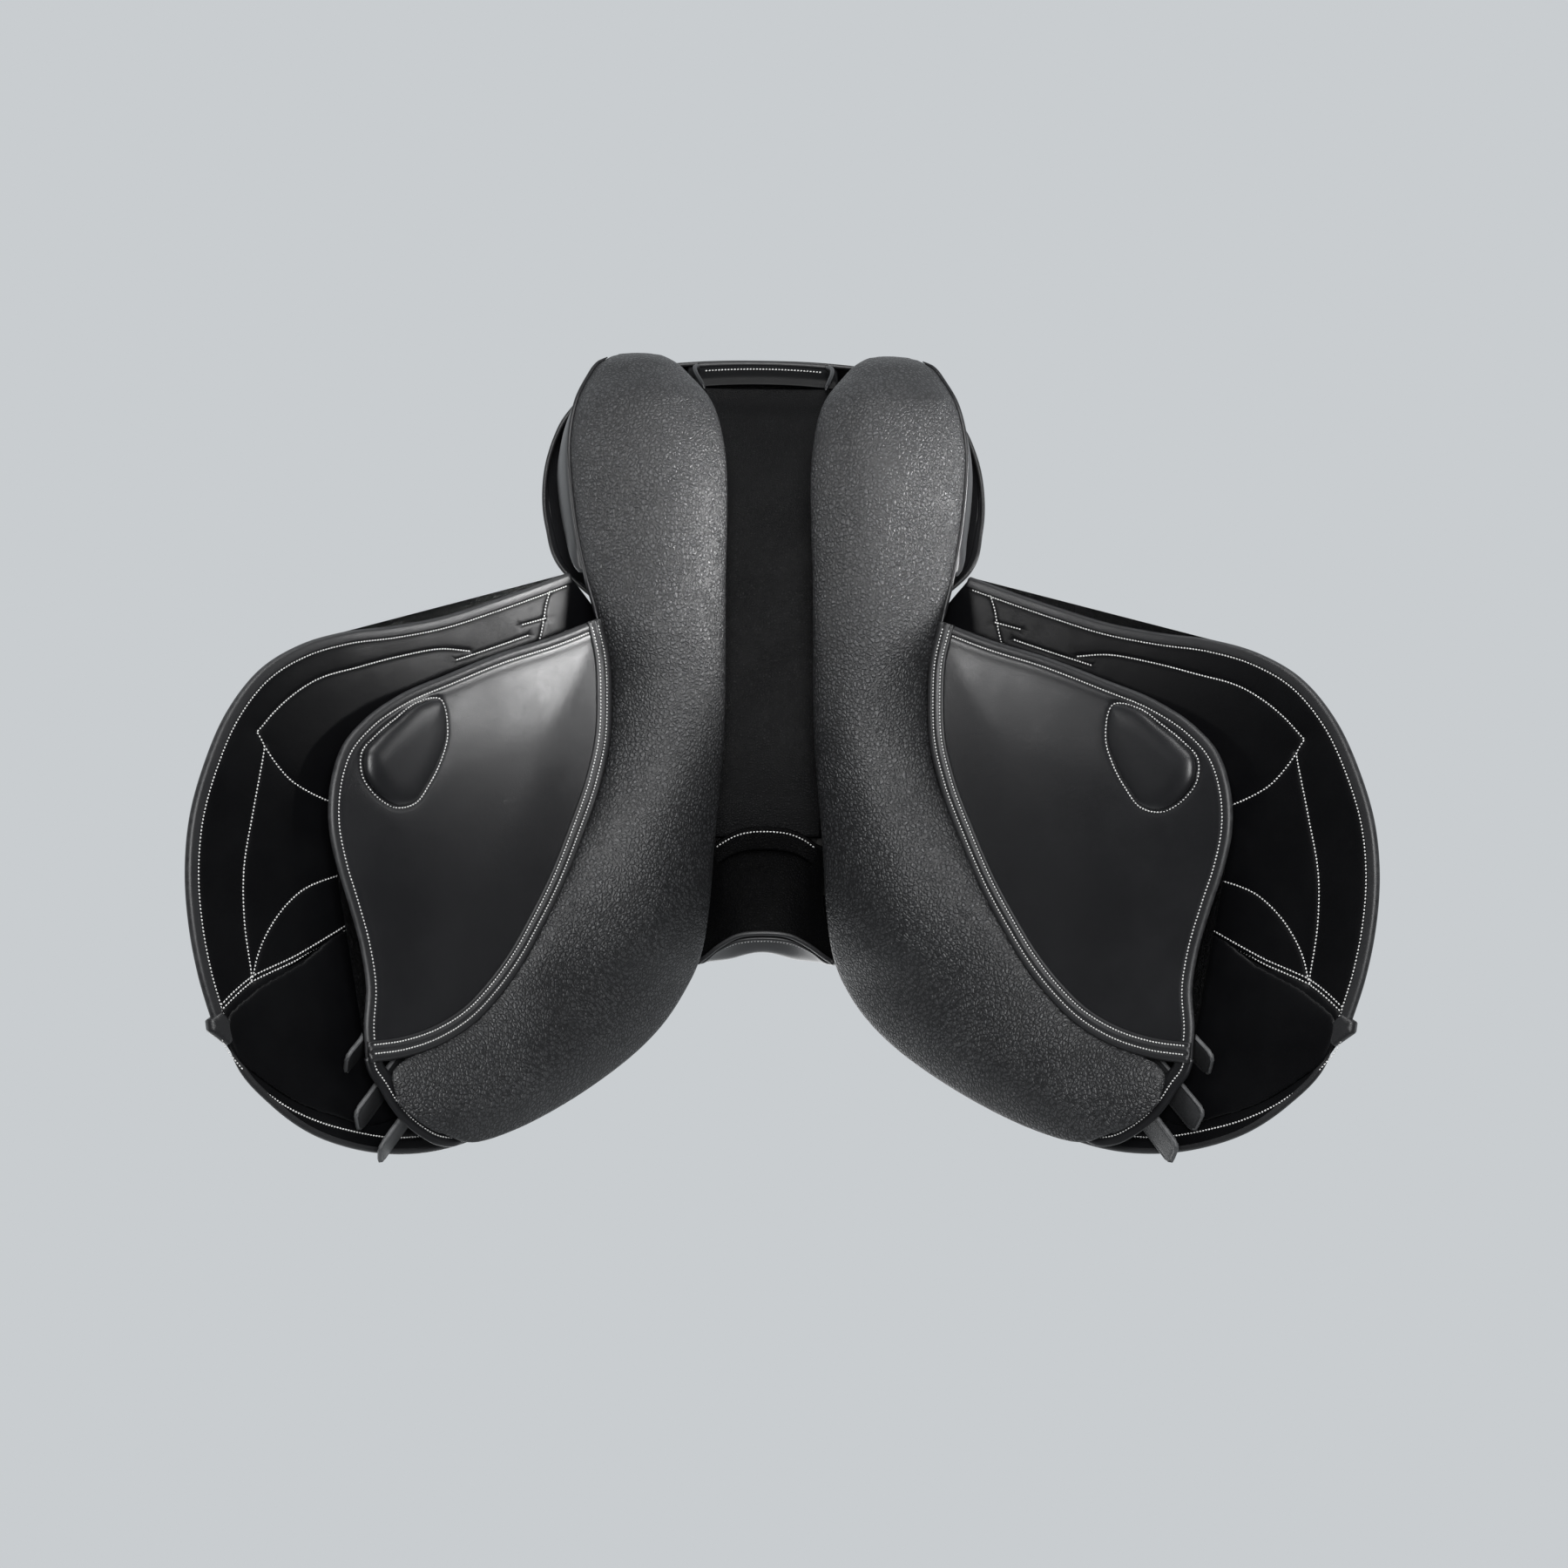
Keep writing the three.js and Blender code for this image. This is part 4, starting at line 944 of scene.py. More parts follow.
# ------------------------------------------------------------------ panels
PANEL = [
    [[87, 353, 26], [115, 352.4, 26], [89, 351, 46], [112, 350, 45], 3],
    [[80, 350, 18], [121, 348.5, 18], [84, 347.5, 54], [115, 345.5, 53], 8],
    [[69.5, 342, 8], [130.5, 340, 9], [74, 339, 54], [123.5, 336.5, 52.5], 15],
    [[60, 331, 0], [137, 329, 2], [66, 328, 51], [131, 326, 49], 21],
    [[44, 308, -16], [146, 307, -12], [52, 307, 33], [148, 303, 41], 28],
    [[36, 282, -26], [151, 279, -22], [47, 280, 21], [157, 278, 33], 28],
    [[32, 248, -32], [151, 250, -29], [43, 248, 8], [160, 250, 25], 28],
    [[32, 205, -36], [146, 205, -35], [42, 205, -5], [154, 208, 6], 27],
    [[33, 165, -38], [138, 165, -43], [40, 165, -5], [140, 168, -33], 26],
    [[33, 128, -39], [128.6, 129, -52], [40, 128, -5], [84, 128, -8], 25],
    [[33, 85, -39], [120, 86, -48], [40, 85, -5], [82, 86, -8], 24],
    [[34, 42, -38], [120.6, 40, -49], [41, 42, -4.6], [80, 40, -7], 24],
    [[37, 4, -34], [127, 6, -56], [43, 4, -1], [79, 4, -6], 24],
    [[41, -40, -28], [141, -36, -70], [46, -40, 9], [78, -38, -5], 24],
    [[44, -82, -20], [156, -76, -85], [49, -82, 11], [78, -78, -5], 23],
    [[50, -119, -9], [169, -104, -97], [54, -117, 5], [80, -110, -8], 22],
    [[62, -146, 1], [183, -131, -110], [70, -142, 0], [100, -134, -26], 20],
    [[80, -173, -14], [199, -155, -125], [90, -168, -16], [130, -158, -54], 20],
    [[105, -198, -40], [216, -174, -141], [116, -192, -42], [160, -180, -84], 20],
    [[140, -224, -74], [237, -189, -161], [150, -218, -76], [195, -200, -118], 19],
    [[176, -245, -109], [256, -198, -180], [184, -238, -110], [222, -218, -145], 17],
    [[206, -257, -137], [266, -205, -190], [212, -252, -138], [242, -228, -164], 13],
    [[222, -258, -152], [270, -214, -194], [226, -255, -153], [250, -234, -174], 10],
    [[236, -252, -165], [266, -229, -191], [238, -250, -166], [252, -240, -178], 5],
]


def fine_panel(m=190):
    A = np.array([[*s[0], *s[1], *s[2], *s[3], s[4], 0, 0] for s in PANEL], float).reshape(len(PANEL), 5, 3)
    mid = (A[:, 0] + A[:, 1]) / 2
    cum = np.concatenate([[0], np.cumsum(np.linalg.norm(np.diff(mid, axis=0), axis=1))])
    x = np.linspace(0, cum[-1], m)
    idx = np.interp(x, cum, np.arange(len(PANEL)))
    i = np.clip(idx.astype(int), 0, len(PANEL) - 2)
    t = (idx - i)[:, None, None]
    p0, p1, p2, p3 = A[np.maximum(i - 1, 0)], A[i], A[i + 1], A[np.minimum(i + 2, len(PANEL) - 1)]
    # tangents allow for uneven stations
    k = 0.5
    B = p1 + k * (p2 - p0) * t + (p0 - 2.5 * p1 + 2 * p2 - 0.5 * p3) * t**2 + (-0.5 * p0 + 1.5 * p1 - 1.5 * p2 + 0.5 * p3) * t**3
    return B, x, cum


PB, PX, PCUM = fine_panel()


def panel_mesh():
    NB = 44
    s = (1 - np.cos(np.linspace(0, math.pi, NB))) / 2
    rings = []
    total = PX[-1]
    for q, row in enumerate(PB):
        I, O, T1, T2 = row[:4]
        h = row[4][0]
        front = np.clip((-30 - I[1]) / 120, 0, 1)
        down = np.array([-0.1 * front, -0.06 * front, -1.0])
        prof = np.power(np.clip(np.sin(math.pi * s), 0, 1), 0.62)
        # fullness a little towards the outer side, so the crest isn't at the very middle
        prof = prof * (1 + 0.06 * np.sin(2 * math.pi * s))
        belly = I[None] + (O - I)[None] * s[:, None] + prof[:, None] * h * down[None]
        # the flocking is never quite even: long soft swells under the leather
        a = PX[q] / 1000
        sw1 = 0.55 * np.sin(41 * a + 5 * s) * np.sin(math.pi * s) + 0.35 * np.sin(23 * a - 9 * s + 1.3) * np.sin(math.pi * s)
        belly[:, 2] -= sw1
        # small puckers where the leather is drawn into the seams
        pk = 0.35 * (np.exp(-((s - 1) / 0.05) ** 2) + 0.6 * np.exp(-(s / 0.05) ** 2)) * np.sin(PX[q] * 0.42 + 1.1 * math.sin(PX[q] * 0.09))
        belly[:, 2] += pk
        t = np.linspace(0, 1, 8)[1:-1, None]
        side_out = O + (T2 - O) * t
        top = T2 + (T1 - T2) * np.linspace(0, 1, 9)[:, None]
        side_in = T1 + (I - T1) * t
        rings.append(np.concatenate([belly, side_out, top, side_in]))
    K = len(rings[0])
    # the two ends close in a rounded nose
    def nose(ring, nxt, n, reach):
        c = ring.mean(0)
        dirn = ring.mean(0) - nxt.mean(0)
        dirn /= np.linalg.norm(dirn)
        out = []
        for j in range(1, n + 1):
            a = j / n * math.pi / 2
            out.append(c + (ring - c) * max(math.cos(a), 0.02) + dirn * reach * math.sin(a))
        return out
    rings = nose(rings[0], rings[3], 9, 5.2)[::-1] + rings + nose(rings[-1], rings[-4], 7, 4.0)
    V = np.concatenate(rings)
    F = grid_faces(len(rings), K, wrap_k=True)
    F.append(tuple(range(K))[::-1])
    F.append(tuple((len(rings) - 1) * K + k for k in range(K)))
    return V, fix_out(V, F)


V, F = panel_mesh()
both("panel_leather", V, F, [M_GRAIN], "saddle", slot="grain_leather", replaces=["panel"], padded=0.85)

# piping along the outer rear edge of each panel, then the gusset
pip_i = [i for i in range(len(PX)) if PCUM[1] <= PX[i] <= PCUM[9] + 4]
pip = np.array([PB[i][1] for i in pip_i])
gus_top = np.array([PB[i][3] for i in pip_i])
pn = path_normals(pip[:, :2], False, 3)
outw = np.stack([pn[:, 0], pn[:, 1], np.zeros(len(pn))], -1)
if outw[len(outw) // 2][0] < 0:
    outw = -outw
V, F = tube(resample(pip + outw * 0.8 + [0, 0, -0.6], 2.0), 1.75, sides=12, taper=7)
both("panel_piping", V, F, [M_CALF], "saddle", slot="smooth_leather")
g_i = [k for k, i in enumerate(pip_i) if PCUM[2] - 2 <= PX[i] <= PCUM[8]]
rows = []
for k in g_i:
    lo, hi, o = pip[k] + [0, 0, 1.5], gus_top[k] + [0, 0, 1.5], outw[k]
    col = []
    for t in np.linspace(0, 1, 14):
        col.append(lo + (hi - lo) * t + o * (0.3 + (0.9 + 3.2 * math.sin(math.pi * t) ** 0.7) * float(sm(k, g_i[0], g_i[0] + 16))))
    rows.append(col)
G = np.array(rows)
n0 = normals_of(G)[len(G) // 2, 7]
V, F = shell(G, 1.8, -1.0 if np.dot(n0, outw[g_i[len(g_i) // 2]]) > 0 else 1.0)
both("panel_gusset_leather", V, F, [M_CALF], "saddle", slot="smooth_leather", replaces=["panel_gusset"])

# the bound edge of the panel's front lower corner
corner_out = curve([(287.5, -201), (284, -212), (278, -221), (271, -233), (262, -244.5), (251, -254), (239, -260.5), (228, -261.5), (219, -257)], 2.0)
corner2 = np.stack([(corner_out[:, 0] + 20.5 * S - 110) / C, corner_out[:, 1]], -1)
lf = path_normals(corner2, False, 4)
mid = len(corner2) // 2
probe = np.array(to_u([(250, -225)], -20.5))[0]
sgn = 1.0 if np.dot(lf[mid], probe - corner2[mid]) > 0 else -1.0
prof = [(14, 1.8), (14, -0.4), (10.5, -1.0), (8.6, -0.2), (7.4, -0.9), (6.6, -0.3), (5.4, -0.9), (3.6, -1.35), (1.6, -1.2), (0.4, -0.5), (0, 0.5), (0.4, 1.5), (2, 2.0)]
V, F = sweep(corner2, lf * sgn, prof, -20.5, False)
both("panel_corner_binding", V, F, [M_CALF], "saddle", slot="smooth_leather")
q = (corner2 + lf * sgn * 6.6)[2:-2]
p = side(q[:, 0], q[:, 1], -20.9)
add_rows("saddle", [(p, np.broadcast_to(np.array([-S, 0, -C]), p.shape))])

# ------------------------------------------------------------------ gullet, arch, rear facing
ROOF = [(-28, 18), (0, 8), (40, -1), (100, -1), (180, -1), (215, 4), (250, 14), (300, 36), (329, 56.5)]
xs, dz = [-43, -26, 0, 26, 43], [-1.5, 0, 0.6, 0, -1.5]
ROOF_L = ROOF[:-1] + [(320, 50), (334, 56.5)]
widen = lambda y: 1.0 + 0.2 * sm(y, 215, 300)
G = patch([[[x * widen(y), y, z + d] for x, d in zip(xs, dz)] for y, z in ROOF_L], 130, 36)
G[..., 2] += 0.5 * np.sin(G[..., 1] * 0.05) * np.cos(G[..., 0] * 0.035)
n0 = normals_of(G)[60, 18]
V, F = shell(G - [0, 0, 2.0], 2.0, 1.0 if n0[2] > 0 else -1.0)
# the channel's lining takes the darkened copy of the grain leather, painted shade
o = make("gullet_lining_leather", V, F, [M_LINING_PAINTED_SHADE], "saddle")
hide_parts("gullet_lining")

HALF = [
    [[0, -99, 41], [20, -101, 39], [35.5, -109, 31], [47, -118, 20], [54, -123, 12.5]],
    [[0, -80, 39], [19, -80, 37], [32.5, -80, 30], [41.5, -80, 21.5], [46.5, -80, 16.5]],
    [[0, -56, 35.3], [18, -56, 34], [32, -56, 28.4], [41.4, -56, 20.6], [46.3, -56, 15.6]],
    [[0, -36, 31], [17, -36, 30], [31, -36, 26], [41, -36, 19], [46, -36, 15]],
]
G = patch([[[-x, y, z] for x, y, z in r[:0:-1]] + r for r in HALF], 46, 64)
n0 = normals_of(G)[20, 32]
inner = G * [0.96, 1, 1] - [0, 0, 3]
R, K = G.shape[:2]
V = np.concatenate([inner.reshape(-1, 3), (inner + [0, 0, 2.2]).reshape(-1, 3)])
F = grid_faces(R, K) + grid_faces(R, K, base=R * K, flip=True)
rim = [(0, k) for k in range(K)] + [(r, K - 1) for r in range(1, R)] + [(R - 1, k) for k in range(K - 2, -1, -1)] + [(r, 0) for r in range(R - 2, 0, -1)]
F += [(b[0] * K + b[1], a[0] * K + a[1], R * K + a[0] * K + a[1], R * K + b[0] * K + b[1]) for a, b in zip(rim, rim[1:] + rim[:1])]
# the arch lining takes the darkest copy of the grain leather, painted shade
o = make("arch_lining_leather", V, fix_out(V, F), [M_ARCH_PAINTED_SHADE], "saddle")
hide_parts("arch_lining")
# rolled edge of the arch and the row of stitching across its inner end
edge = inner[0]
V, F = tube(resample(edge + [0, -0.6, -0.4], 2.0), 1.9, sides=12)
o = make("arch_edge_roll", V, F, [M_BIND_WITH_PAINTED_HIGHLIGHT], "saddle")
arc = curve([(-38, -35), (-30, -29.5), (-19, -25), (-8, -23.3), (2, -23), (12, -23.6), (22, -26), (31, -30.5), (38, -35)], 1.5)
zr = lambda x, y: np.interp(y, [r[0] for r in ROOF], [r[1] for r in ROOF]) - 2.0
# a lip of lining laid over the channel's front end carries that row
roof_x = lambda x, y: 16.0 - 0.357 * (y + 28) - 1.5 * (x / 43) ** 2 - 0.7
lip_rows = []
for (x, y) in curve([(-47, -39)] + [tuple(p) for p in arc[::3]] + [(47, -39)], 2.0):
    lip_rows.append([[x, y + o, roof_x(x, y + o)] for o in (-14, -9, -5, 0, 3.6)])
G = patch(lip_rows, 70, 16)
n0 = normals_of(G)[35, 8]
V, F = shell(G - [0, 0, 1.5], 1.5, 1.0 if n0[2] > 0 else -1.0)
# the lip is in the same darkened copy, painted shade
o = make("gullet_front_lip", V, F, [M_ARCH_PAINTED_SHADE], "saddle")
pts = np.stack([arc[:, 0], arc[:, 1], roof_x(arc[:, 0], arc[:, 1]) - 1.5], -1)
ROWS_X = [(pts, np.broadcast_to(np.array([0, -0.38, -0.92]), pts.shape))]

line = [(356.5, 66), (353, 61.5), (349, 58.3), (343, 54.5), (336, 53)]
G = patch([[[x, y - 0.0009 * x * x, z] for x in (-60, -30, 0, 30, 60)] for y, z in line], 26, 70)
n0 = normals_of(G)[12, 35]
V, F = shell(G, 1.8, 1.0 if n0[2] > 0 else -1.0)
# the rear facing takes the darkened calf copy, painted shade
o = make("rear_facing_leather", V, F, [M_FLAPIN_PAINTED_SHADE], "saddle")
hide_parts("rear_facing")
x = np.arange(-47, 47.5, 1.5)
pts = np.stack([x, 350.2 - 0.0009 * x * x, np.full(len(x), 58.9)], -1)
ROWS_X.append((pts, np.broadcast_to(np.array([0, 0.55, -0.84]), pts.shape)))
V, F = tube(np.stack([x * 1.12, 356.2 - 0.0009 * x * x, np.full(len(x), 65.0)], -1), 1.9, sides=10)
o = make("cantle_edge_roll", V, F, [M_BIND_WITH_PAINTED_HIGHLIGHT], "saddle")

# folded ears of the facing, tucked round the inner rear corner of each panel
ear = curve([(50.5, 352, 60), (54, 348, 49), (53.5, 341, 38), (50.5, 333, 29), (47.5, 325, 22)], 1.5)
V, F = tube(ear, 2.6, sides=12, squash=0.7, taper=3)
both("panel_ear", V, F, [M_CALF], "saddle", slot="smooth_leather")

# ------------------------------------------------------------------ seat
SEATZ = [(-110, 88), (-80, 82), (-60, 75), (-20, 58), (20, 46), (60, 40), (100, 38), (140, 41), (180, 50), (220, 64), (250, 78)]
RIM = np.array([
    [0, -104, 88], [24, -108, 85], [43, -116, 74], [55, -115, 60], [62, -95, 49], [68, -60, 38], [76, -20, 28], [86, 20, 21], [95, 60, 17], [104, 100, 16],
    [116, 140, 19], [131, 180, 26], [146, 218, 38], [156, 252, 53], [157, 284, 71], [146, 311, 92], [121, 331, 109], [88, 344, 121], [46, 350, 128], [0, 352, 130]], float)
SPINE_Y = np.array([-80, -79, -77, -72, -62, -42, -10, 25, 62, 100, 136, 168, 194, 212, 225, 234, 241, 246, 249, 250], float)


def spline1(tab, x):
    X = np.array([t[0] for t in tab], float)
    Y = np.array([t[1] for t in tab], float)
    m = np.gradient(Y, X)
    i = np.clip(np.searchsorted(X, x) - 1, 0, len(X) - 2)
    h = X[i + 1] - X[i]
    t = (x - X[i]) / h
    return (2 * t**3 - 3 * t**2 + 1) * Y[i] + (t**3 - 2 * t**2 + t) * h * m[i] + (-2 * t**3 + 3 * t**2) * Y[i + 1] + (t**3 - t**2) * h * m[i + 1]


NI = 19 * 7 + 1
A = np.concatenate([RIM, SPINE_Y[:, None]], 1)[None]
FI = patch(A.transpose(1, 0, 2), NI, 2)[:, 0]   # fine rim stations: x, y, z, spine y
FI[0, 0] = FI[-1, 0] = 0
RIMF, SPF = FI[:, :3], FI[:, 3]
SEAT_SEAM = 0.66


def seat_at(i, s, down=0.0):
    bx, by, bz = RIMF[i].T if np.ndim(i) else RIMF[i]
    sy = SPF[i]
    sz = spline1(SEATZ, sy)
    return np.stack([bx * s, sy + (by - sy) * s, sz + (bz - sz) * s * s - down], -1)


ss = np.unique(np.concatenate([np.linspace(0, 1, 31), np.linspace(0.985, 1, 4), SEAT_SEAM + np.array([-0.02, -0.008, 0, 0.008, 0.02])]))
NS = len(ss)
V, F = [], []
for mir in (1, -1):
    for top in (1, 0):
        base = len(V)
        for i in range(NI):
            width = np.linalg.norm(RIMF[i] - seat_at(i, 0.0))
            for s in ss:
                p = seat_at(i, s)
                seam = abs(s - SEAT_SEAM) * width
                live = 0.0 if i < 22 else 1.0
                g = 1.3 * math.exp(-((seam / 2.4) ** 2)) * live
                puff = 0.9 * (sm(seam, 0, 16) - 1) * live
                e = max(0.0, 1 - (1 - s) * width / 4.0)
                edge = 1.6 * e * e
                if top:
                    p = p + [0, 0, -0.2 - g + puff * 0.8 - edge]
                else:
                    p = p + [0, 0, -3.0 + 0.8 * e]
                V.append([p[0] * mir * (0.995 if s == 1 else 1), p[1], p[2]])
        F += grid_faces(NI, NS, base=base, flip=(mir > 0) ^ (top == 1))
    # close the rim between the top and the underside
    b0, b1 = len(V) - 2 * NI * NS, len(V) - NI * NS
    for i in range(NI - 1):
        a, b = b0 + i * NS + NS - 1, b0 + (i + 1) * NS + NS - 1
        c, d = b1 + (i + 1) * NS + NS - 1, b1 + i * NS + NS - 1
        F.append((a, b, c, d) if mir > 0 else (d, c, b, a))
o = make("seat_leather", V, F, [M_SEAT], "saddle", merge=0.02)
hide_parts("seat_cover")
rows = []
for mir in (1, -1):
    for ds in (-0.012, 0.012):
        idx = np.arange(24, NI)
        w = np.linalg.norm(RIMF[idx] - seat_at(idx, np.zeros(len(idx))), axis=1)
        p = seat_at(idx, SEAT_SEAM + np.sign(ds) * 2.6 / w)
        p[:, 2] -= 0.2 + 0.4 + 0.75
        p[:, 0] *= mir
        rows.append((p, np.broadcast_to(np.array([0, 0, 1.0]), p.shape)))
ROWS_SEAT = rows

SIDE_EDGE = {
    4: [68.5, -95, 35], 5: [75, -60, 30], 6: [83, -20, 23.5], 7: [91.5, 20, 17.5], 8: [99.7, 60, 12], 9: [107.8, 100, 8],
    10: [118.5, 142, 8], 11: [158, 180, 6], 12: [169, 214, 22], 13: [172, 245, 34], 14: [168, 276, 42], 15: [156, 306, 49],
    16: [133, 333, 57], 17: [98, 349, 63], 18: [52, 356, 67], 19: [0, 358, 69]}
OUTN = []
for i in range(20):
    a, b = RIM[max(0, i - 1)], RIM[min(19, i + 1)]
    n = np.array([b[1] - a[1], -(b[0] - a[0])])
    if i == 19:
        n = np.array([0.0, 1.0])
    if i == 0:
        n = np.array([0.0, -1.0])
    OUTN.append(n / np.linalg.norm(n))


def column(i, off):
    x, y, z = RIM[i]
    nx, ny = OUTN[i]
    kx, ky, kz = SIDE_EDGE[i]
    w = 1.8 if i < 11 else 3.0
    o = off / 3 * w
    a = np.array([x + nx * (0.8 + o), y + ny * (0.8 + o), z - 3])
    k = np.array([kx - nx * (w - o), ky - ny * (w - o), kz])
    m = (a + k) / 2
    low = np.clip((a[2] - k[2]) / 40, 0, 1)
    m[:2] += np.array([nx, ny]) * 5 * low
    cols = []
    for t in np.linspace(0, 1, 5):
        cols.append((1 - t) * (1 - 2 * t) * a + 4 * t * (1 - t) * m + t * (2 * t - 1) * k)
    return cols


idx = [(i, 1) for i in range(4, 20)] + [(i, -1) for i in range(18, 3, -1)]
grid_side = [[[0 if i == 19 else p[0] * sg, p[1], p[2]] for p in column(i, 3)] for i, sg in idx]
G = patch(grid_side, 300, 26)
t = np.linspace(0, 1, 26)[None, :, None]
gn = normals_of(G)
sgn_side = 1.0 if gn[150, 12][1] > 0 else -1.0
G = G + gn * sgn_side * (-0.9 * np.exp(-((t - 0.86) / 0.03) ** 2))
V, F = shell(G, 1.7, -sgn_side)
o = make("seat_side_leather", V, F, [M_CALF], "saddle")
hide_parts("seat_side_cover")
gn = normals_of(G) * sgn_side
for k in (22,):
    p = G[60:240, k] + gn[60:240, k] * 0.1
    ROWS_SEAT.append((p, gn[60:240, k]))
# welt between the seat and its side
w_pts = np.concatenate([RIMF[22:, :], (RIMF[22:-1] * [-1, 1, 1])[::-1]])
on = np.array([OUTN[min(19, int(round(i / 7)))] for i in range(22, NI)])
on = np.concatenate([on, (on[:-1] * [-1, 1])[::-1]])
for _ in range(6):
    on[1:-1] = (on[:-2] + 2 * on[1:-1] + on[2:]) / 4
w_pts = w_pts + np.stack([on[:, 0] * 0.6, on[:, 1] * 0.6, np.full(len(on), -1.6)], -1)
V, F = tube(resample(w_pts, 2.5), 2.1, sides=12)
o = make("seat_welt", V, F, [M_BIND_WITH_PAINTED_HIGHLIGHT], "saddle")
# rolled lower edge of the side, over the panels
low = resample(G[40:260, -1], 2.5)
V, F = tube(low, 1.7, sides=10)
o = make("seat_side_edge_roll", V, F, [M_BIND_WITH_PAINTED_HIGHLIGHT], "saddle")

FRONT = [
    [[0, -106, 85], [0, -113, 64], [0, -103, 44.5]],
    [[24.3, -117.5, 82], [24, -117, 62], [20, -105, 42.5]],
    [[44, -119, 71], [43, -121, 50], [36.5, -113, 34.5]],
    [[57.5, -120, 57], [56, -124, 38], [48, -122, 22.5]],
    [[64.5, -104, 47], [66, -112, 32], [60, -121, 14]]]
G = patch([[[-x, y, z] for x, y, z in r] for r in FRONT[:0:-1]] + FRONT, 90, 24)
gn = normals_of(G)
sg = 1.0 if gn[45, 12][1] < 0 else -1.0
V, F = shell(G, 2.4, -sg)
o = make("pommel_facing_leather", V, F, [M_CALF], "saddle")
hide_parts("pommel_facing")
V, F = tube(resample(G[:, -1] + [0, -0.3, -0.6], 2.0), 1.7, sides=10)
o = make("pommel_lower_roll", V, F, [M_BIND_WITH_PAINTED_HIGHLIGHT], "saddle")
p = G[3:-3, 21] + gn[3:-3, 21] * sg * 0.15
ROWS_SEAT.append((p, gn[3:-3, 21] * sg))
topw = resample(np.concatenate([(RIMF[1:26] * [-1, 1, 1])[::-1], RIMF[:26]]) + [0, -1.2, -1.2], 2.0)
V, F = tube(topw, 1.9, sides=10)
o = make("pommel_welt", V, F, [M_BIND_WITH_PAINTED_HIGHLIGHT], "saddle")

# ------------------------------------------------------------------ skirts
HINGE = lambda y: (73.5 + (y + 95) * 0.19, y, 32 - (y + 95) * 0.1286)
SK = [[-112, -116, 84], [-103, -110, 112], [-90, -92, 134], [-60, -60, 155], [-20, -20, 170], [20, 20, 177], [60, 60, 176], [100, 100, 170], [126, 132, 162], [138, 152, 148]]


def skirt_at(row, t, lift):
    yi, yo, xo = row
    h = HINGE(yi)
    n_in = (h[0] - 110) * S + (h[2] + 10) * C
    u_in = (h[0] - 110) * C - (h[2] + 10) * S
    u_out = (xo - 110 - 6.5 * S) / C
    y = yi + (yo - yi) * t
    bulge = 7 if -100 < y < 60 else 3
    n = n_in - 2 + (6.5 - n_in + 2) * t + bulge * math.sin(math.pi * min(1, t)) + lift
    return side(u_in + 2.5 + (u_out - u_in - 2.5) * t, y, n)


G = patch([[skirt_at(r, t, 4) for t in (0, 0.25, 0.5, 0.75, 1)] for r in SK], 130, 60)
gn = normals_of(G)
sg = 1.0 if gn[60, 30][2] > 0 else -1.0
rr = np.linspace(0, 1, 130)[:, None]
kk = np.linspace(0, 1, 60)[None]
V, F = shell(G, 3.6, -sg, 1.4)
both("skirt_leather", V, F, [M_CALF], "skirt_", slot="smooth_leather", replaces=["skirt"])
ROWS["skirt_left"].append((resample(np.concatenate([G[3, 20:57], G[3:-3, 56], G[-4, 56:20:-1]]), 1.5) + np.array([S, 0, C]) * 0.12, None))
rowp, _ = ROWS["skirt_left"][0]
ROWS["skirt_left"][0] = (rowp, np.broadcast_to(np.array([S, 0, C]), rowp.shape))

# ------------------------------------------------------------------ billets
BILLETS = {
    "billet_rear": dict(pivot=(16, 36), tip=(272, -206), n=(-5.3, -2.0)),
    "billet_middle": dict(pivot=(16, 14), tip=(262, -245), n=(-11.0, -7.7)),
    "billet_front": dict(pivot=(16, -14), tip=(241, -268), n=(-14.7, -11.4)),
}
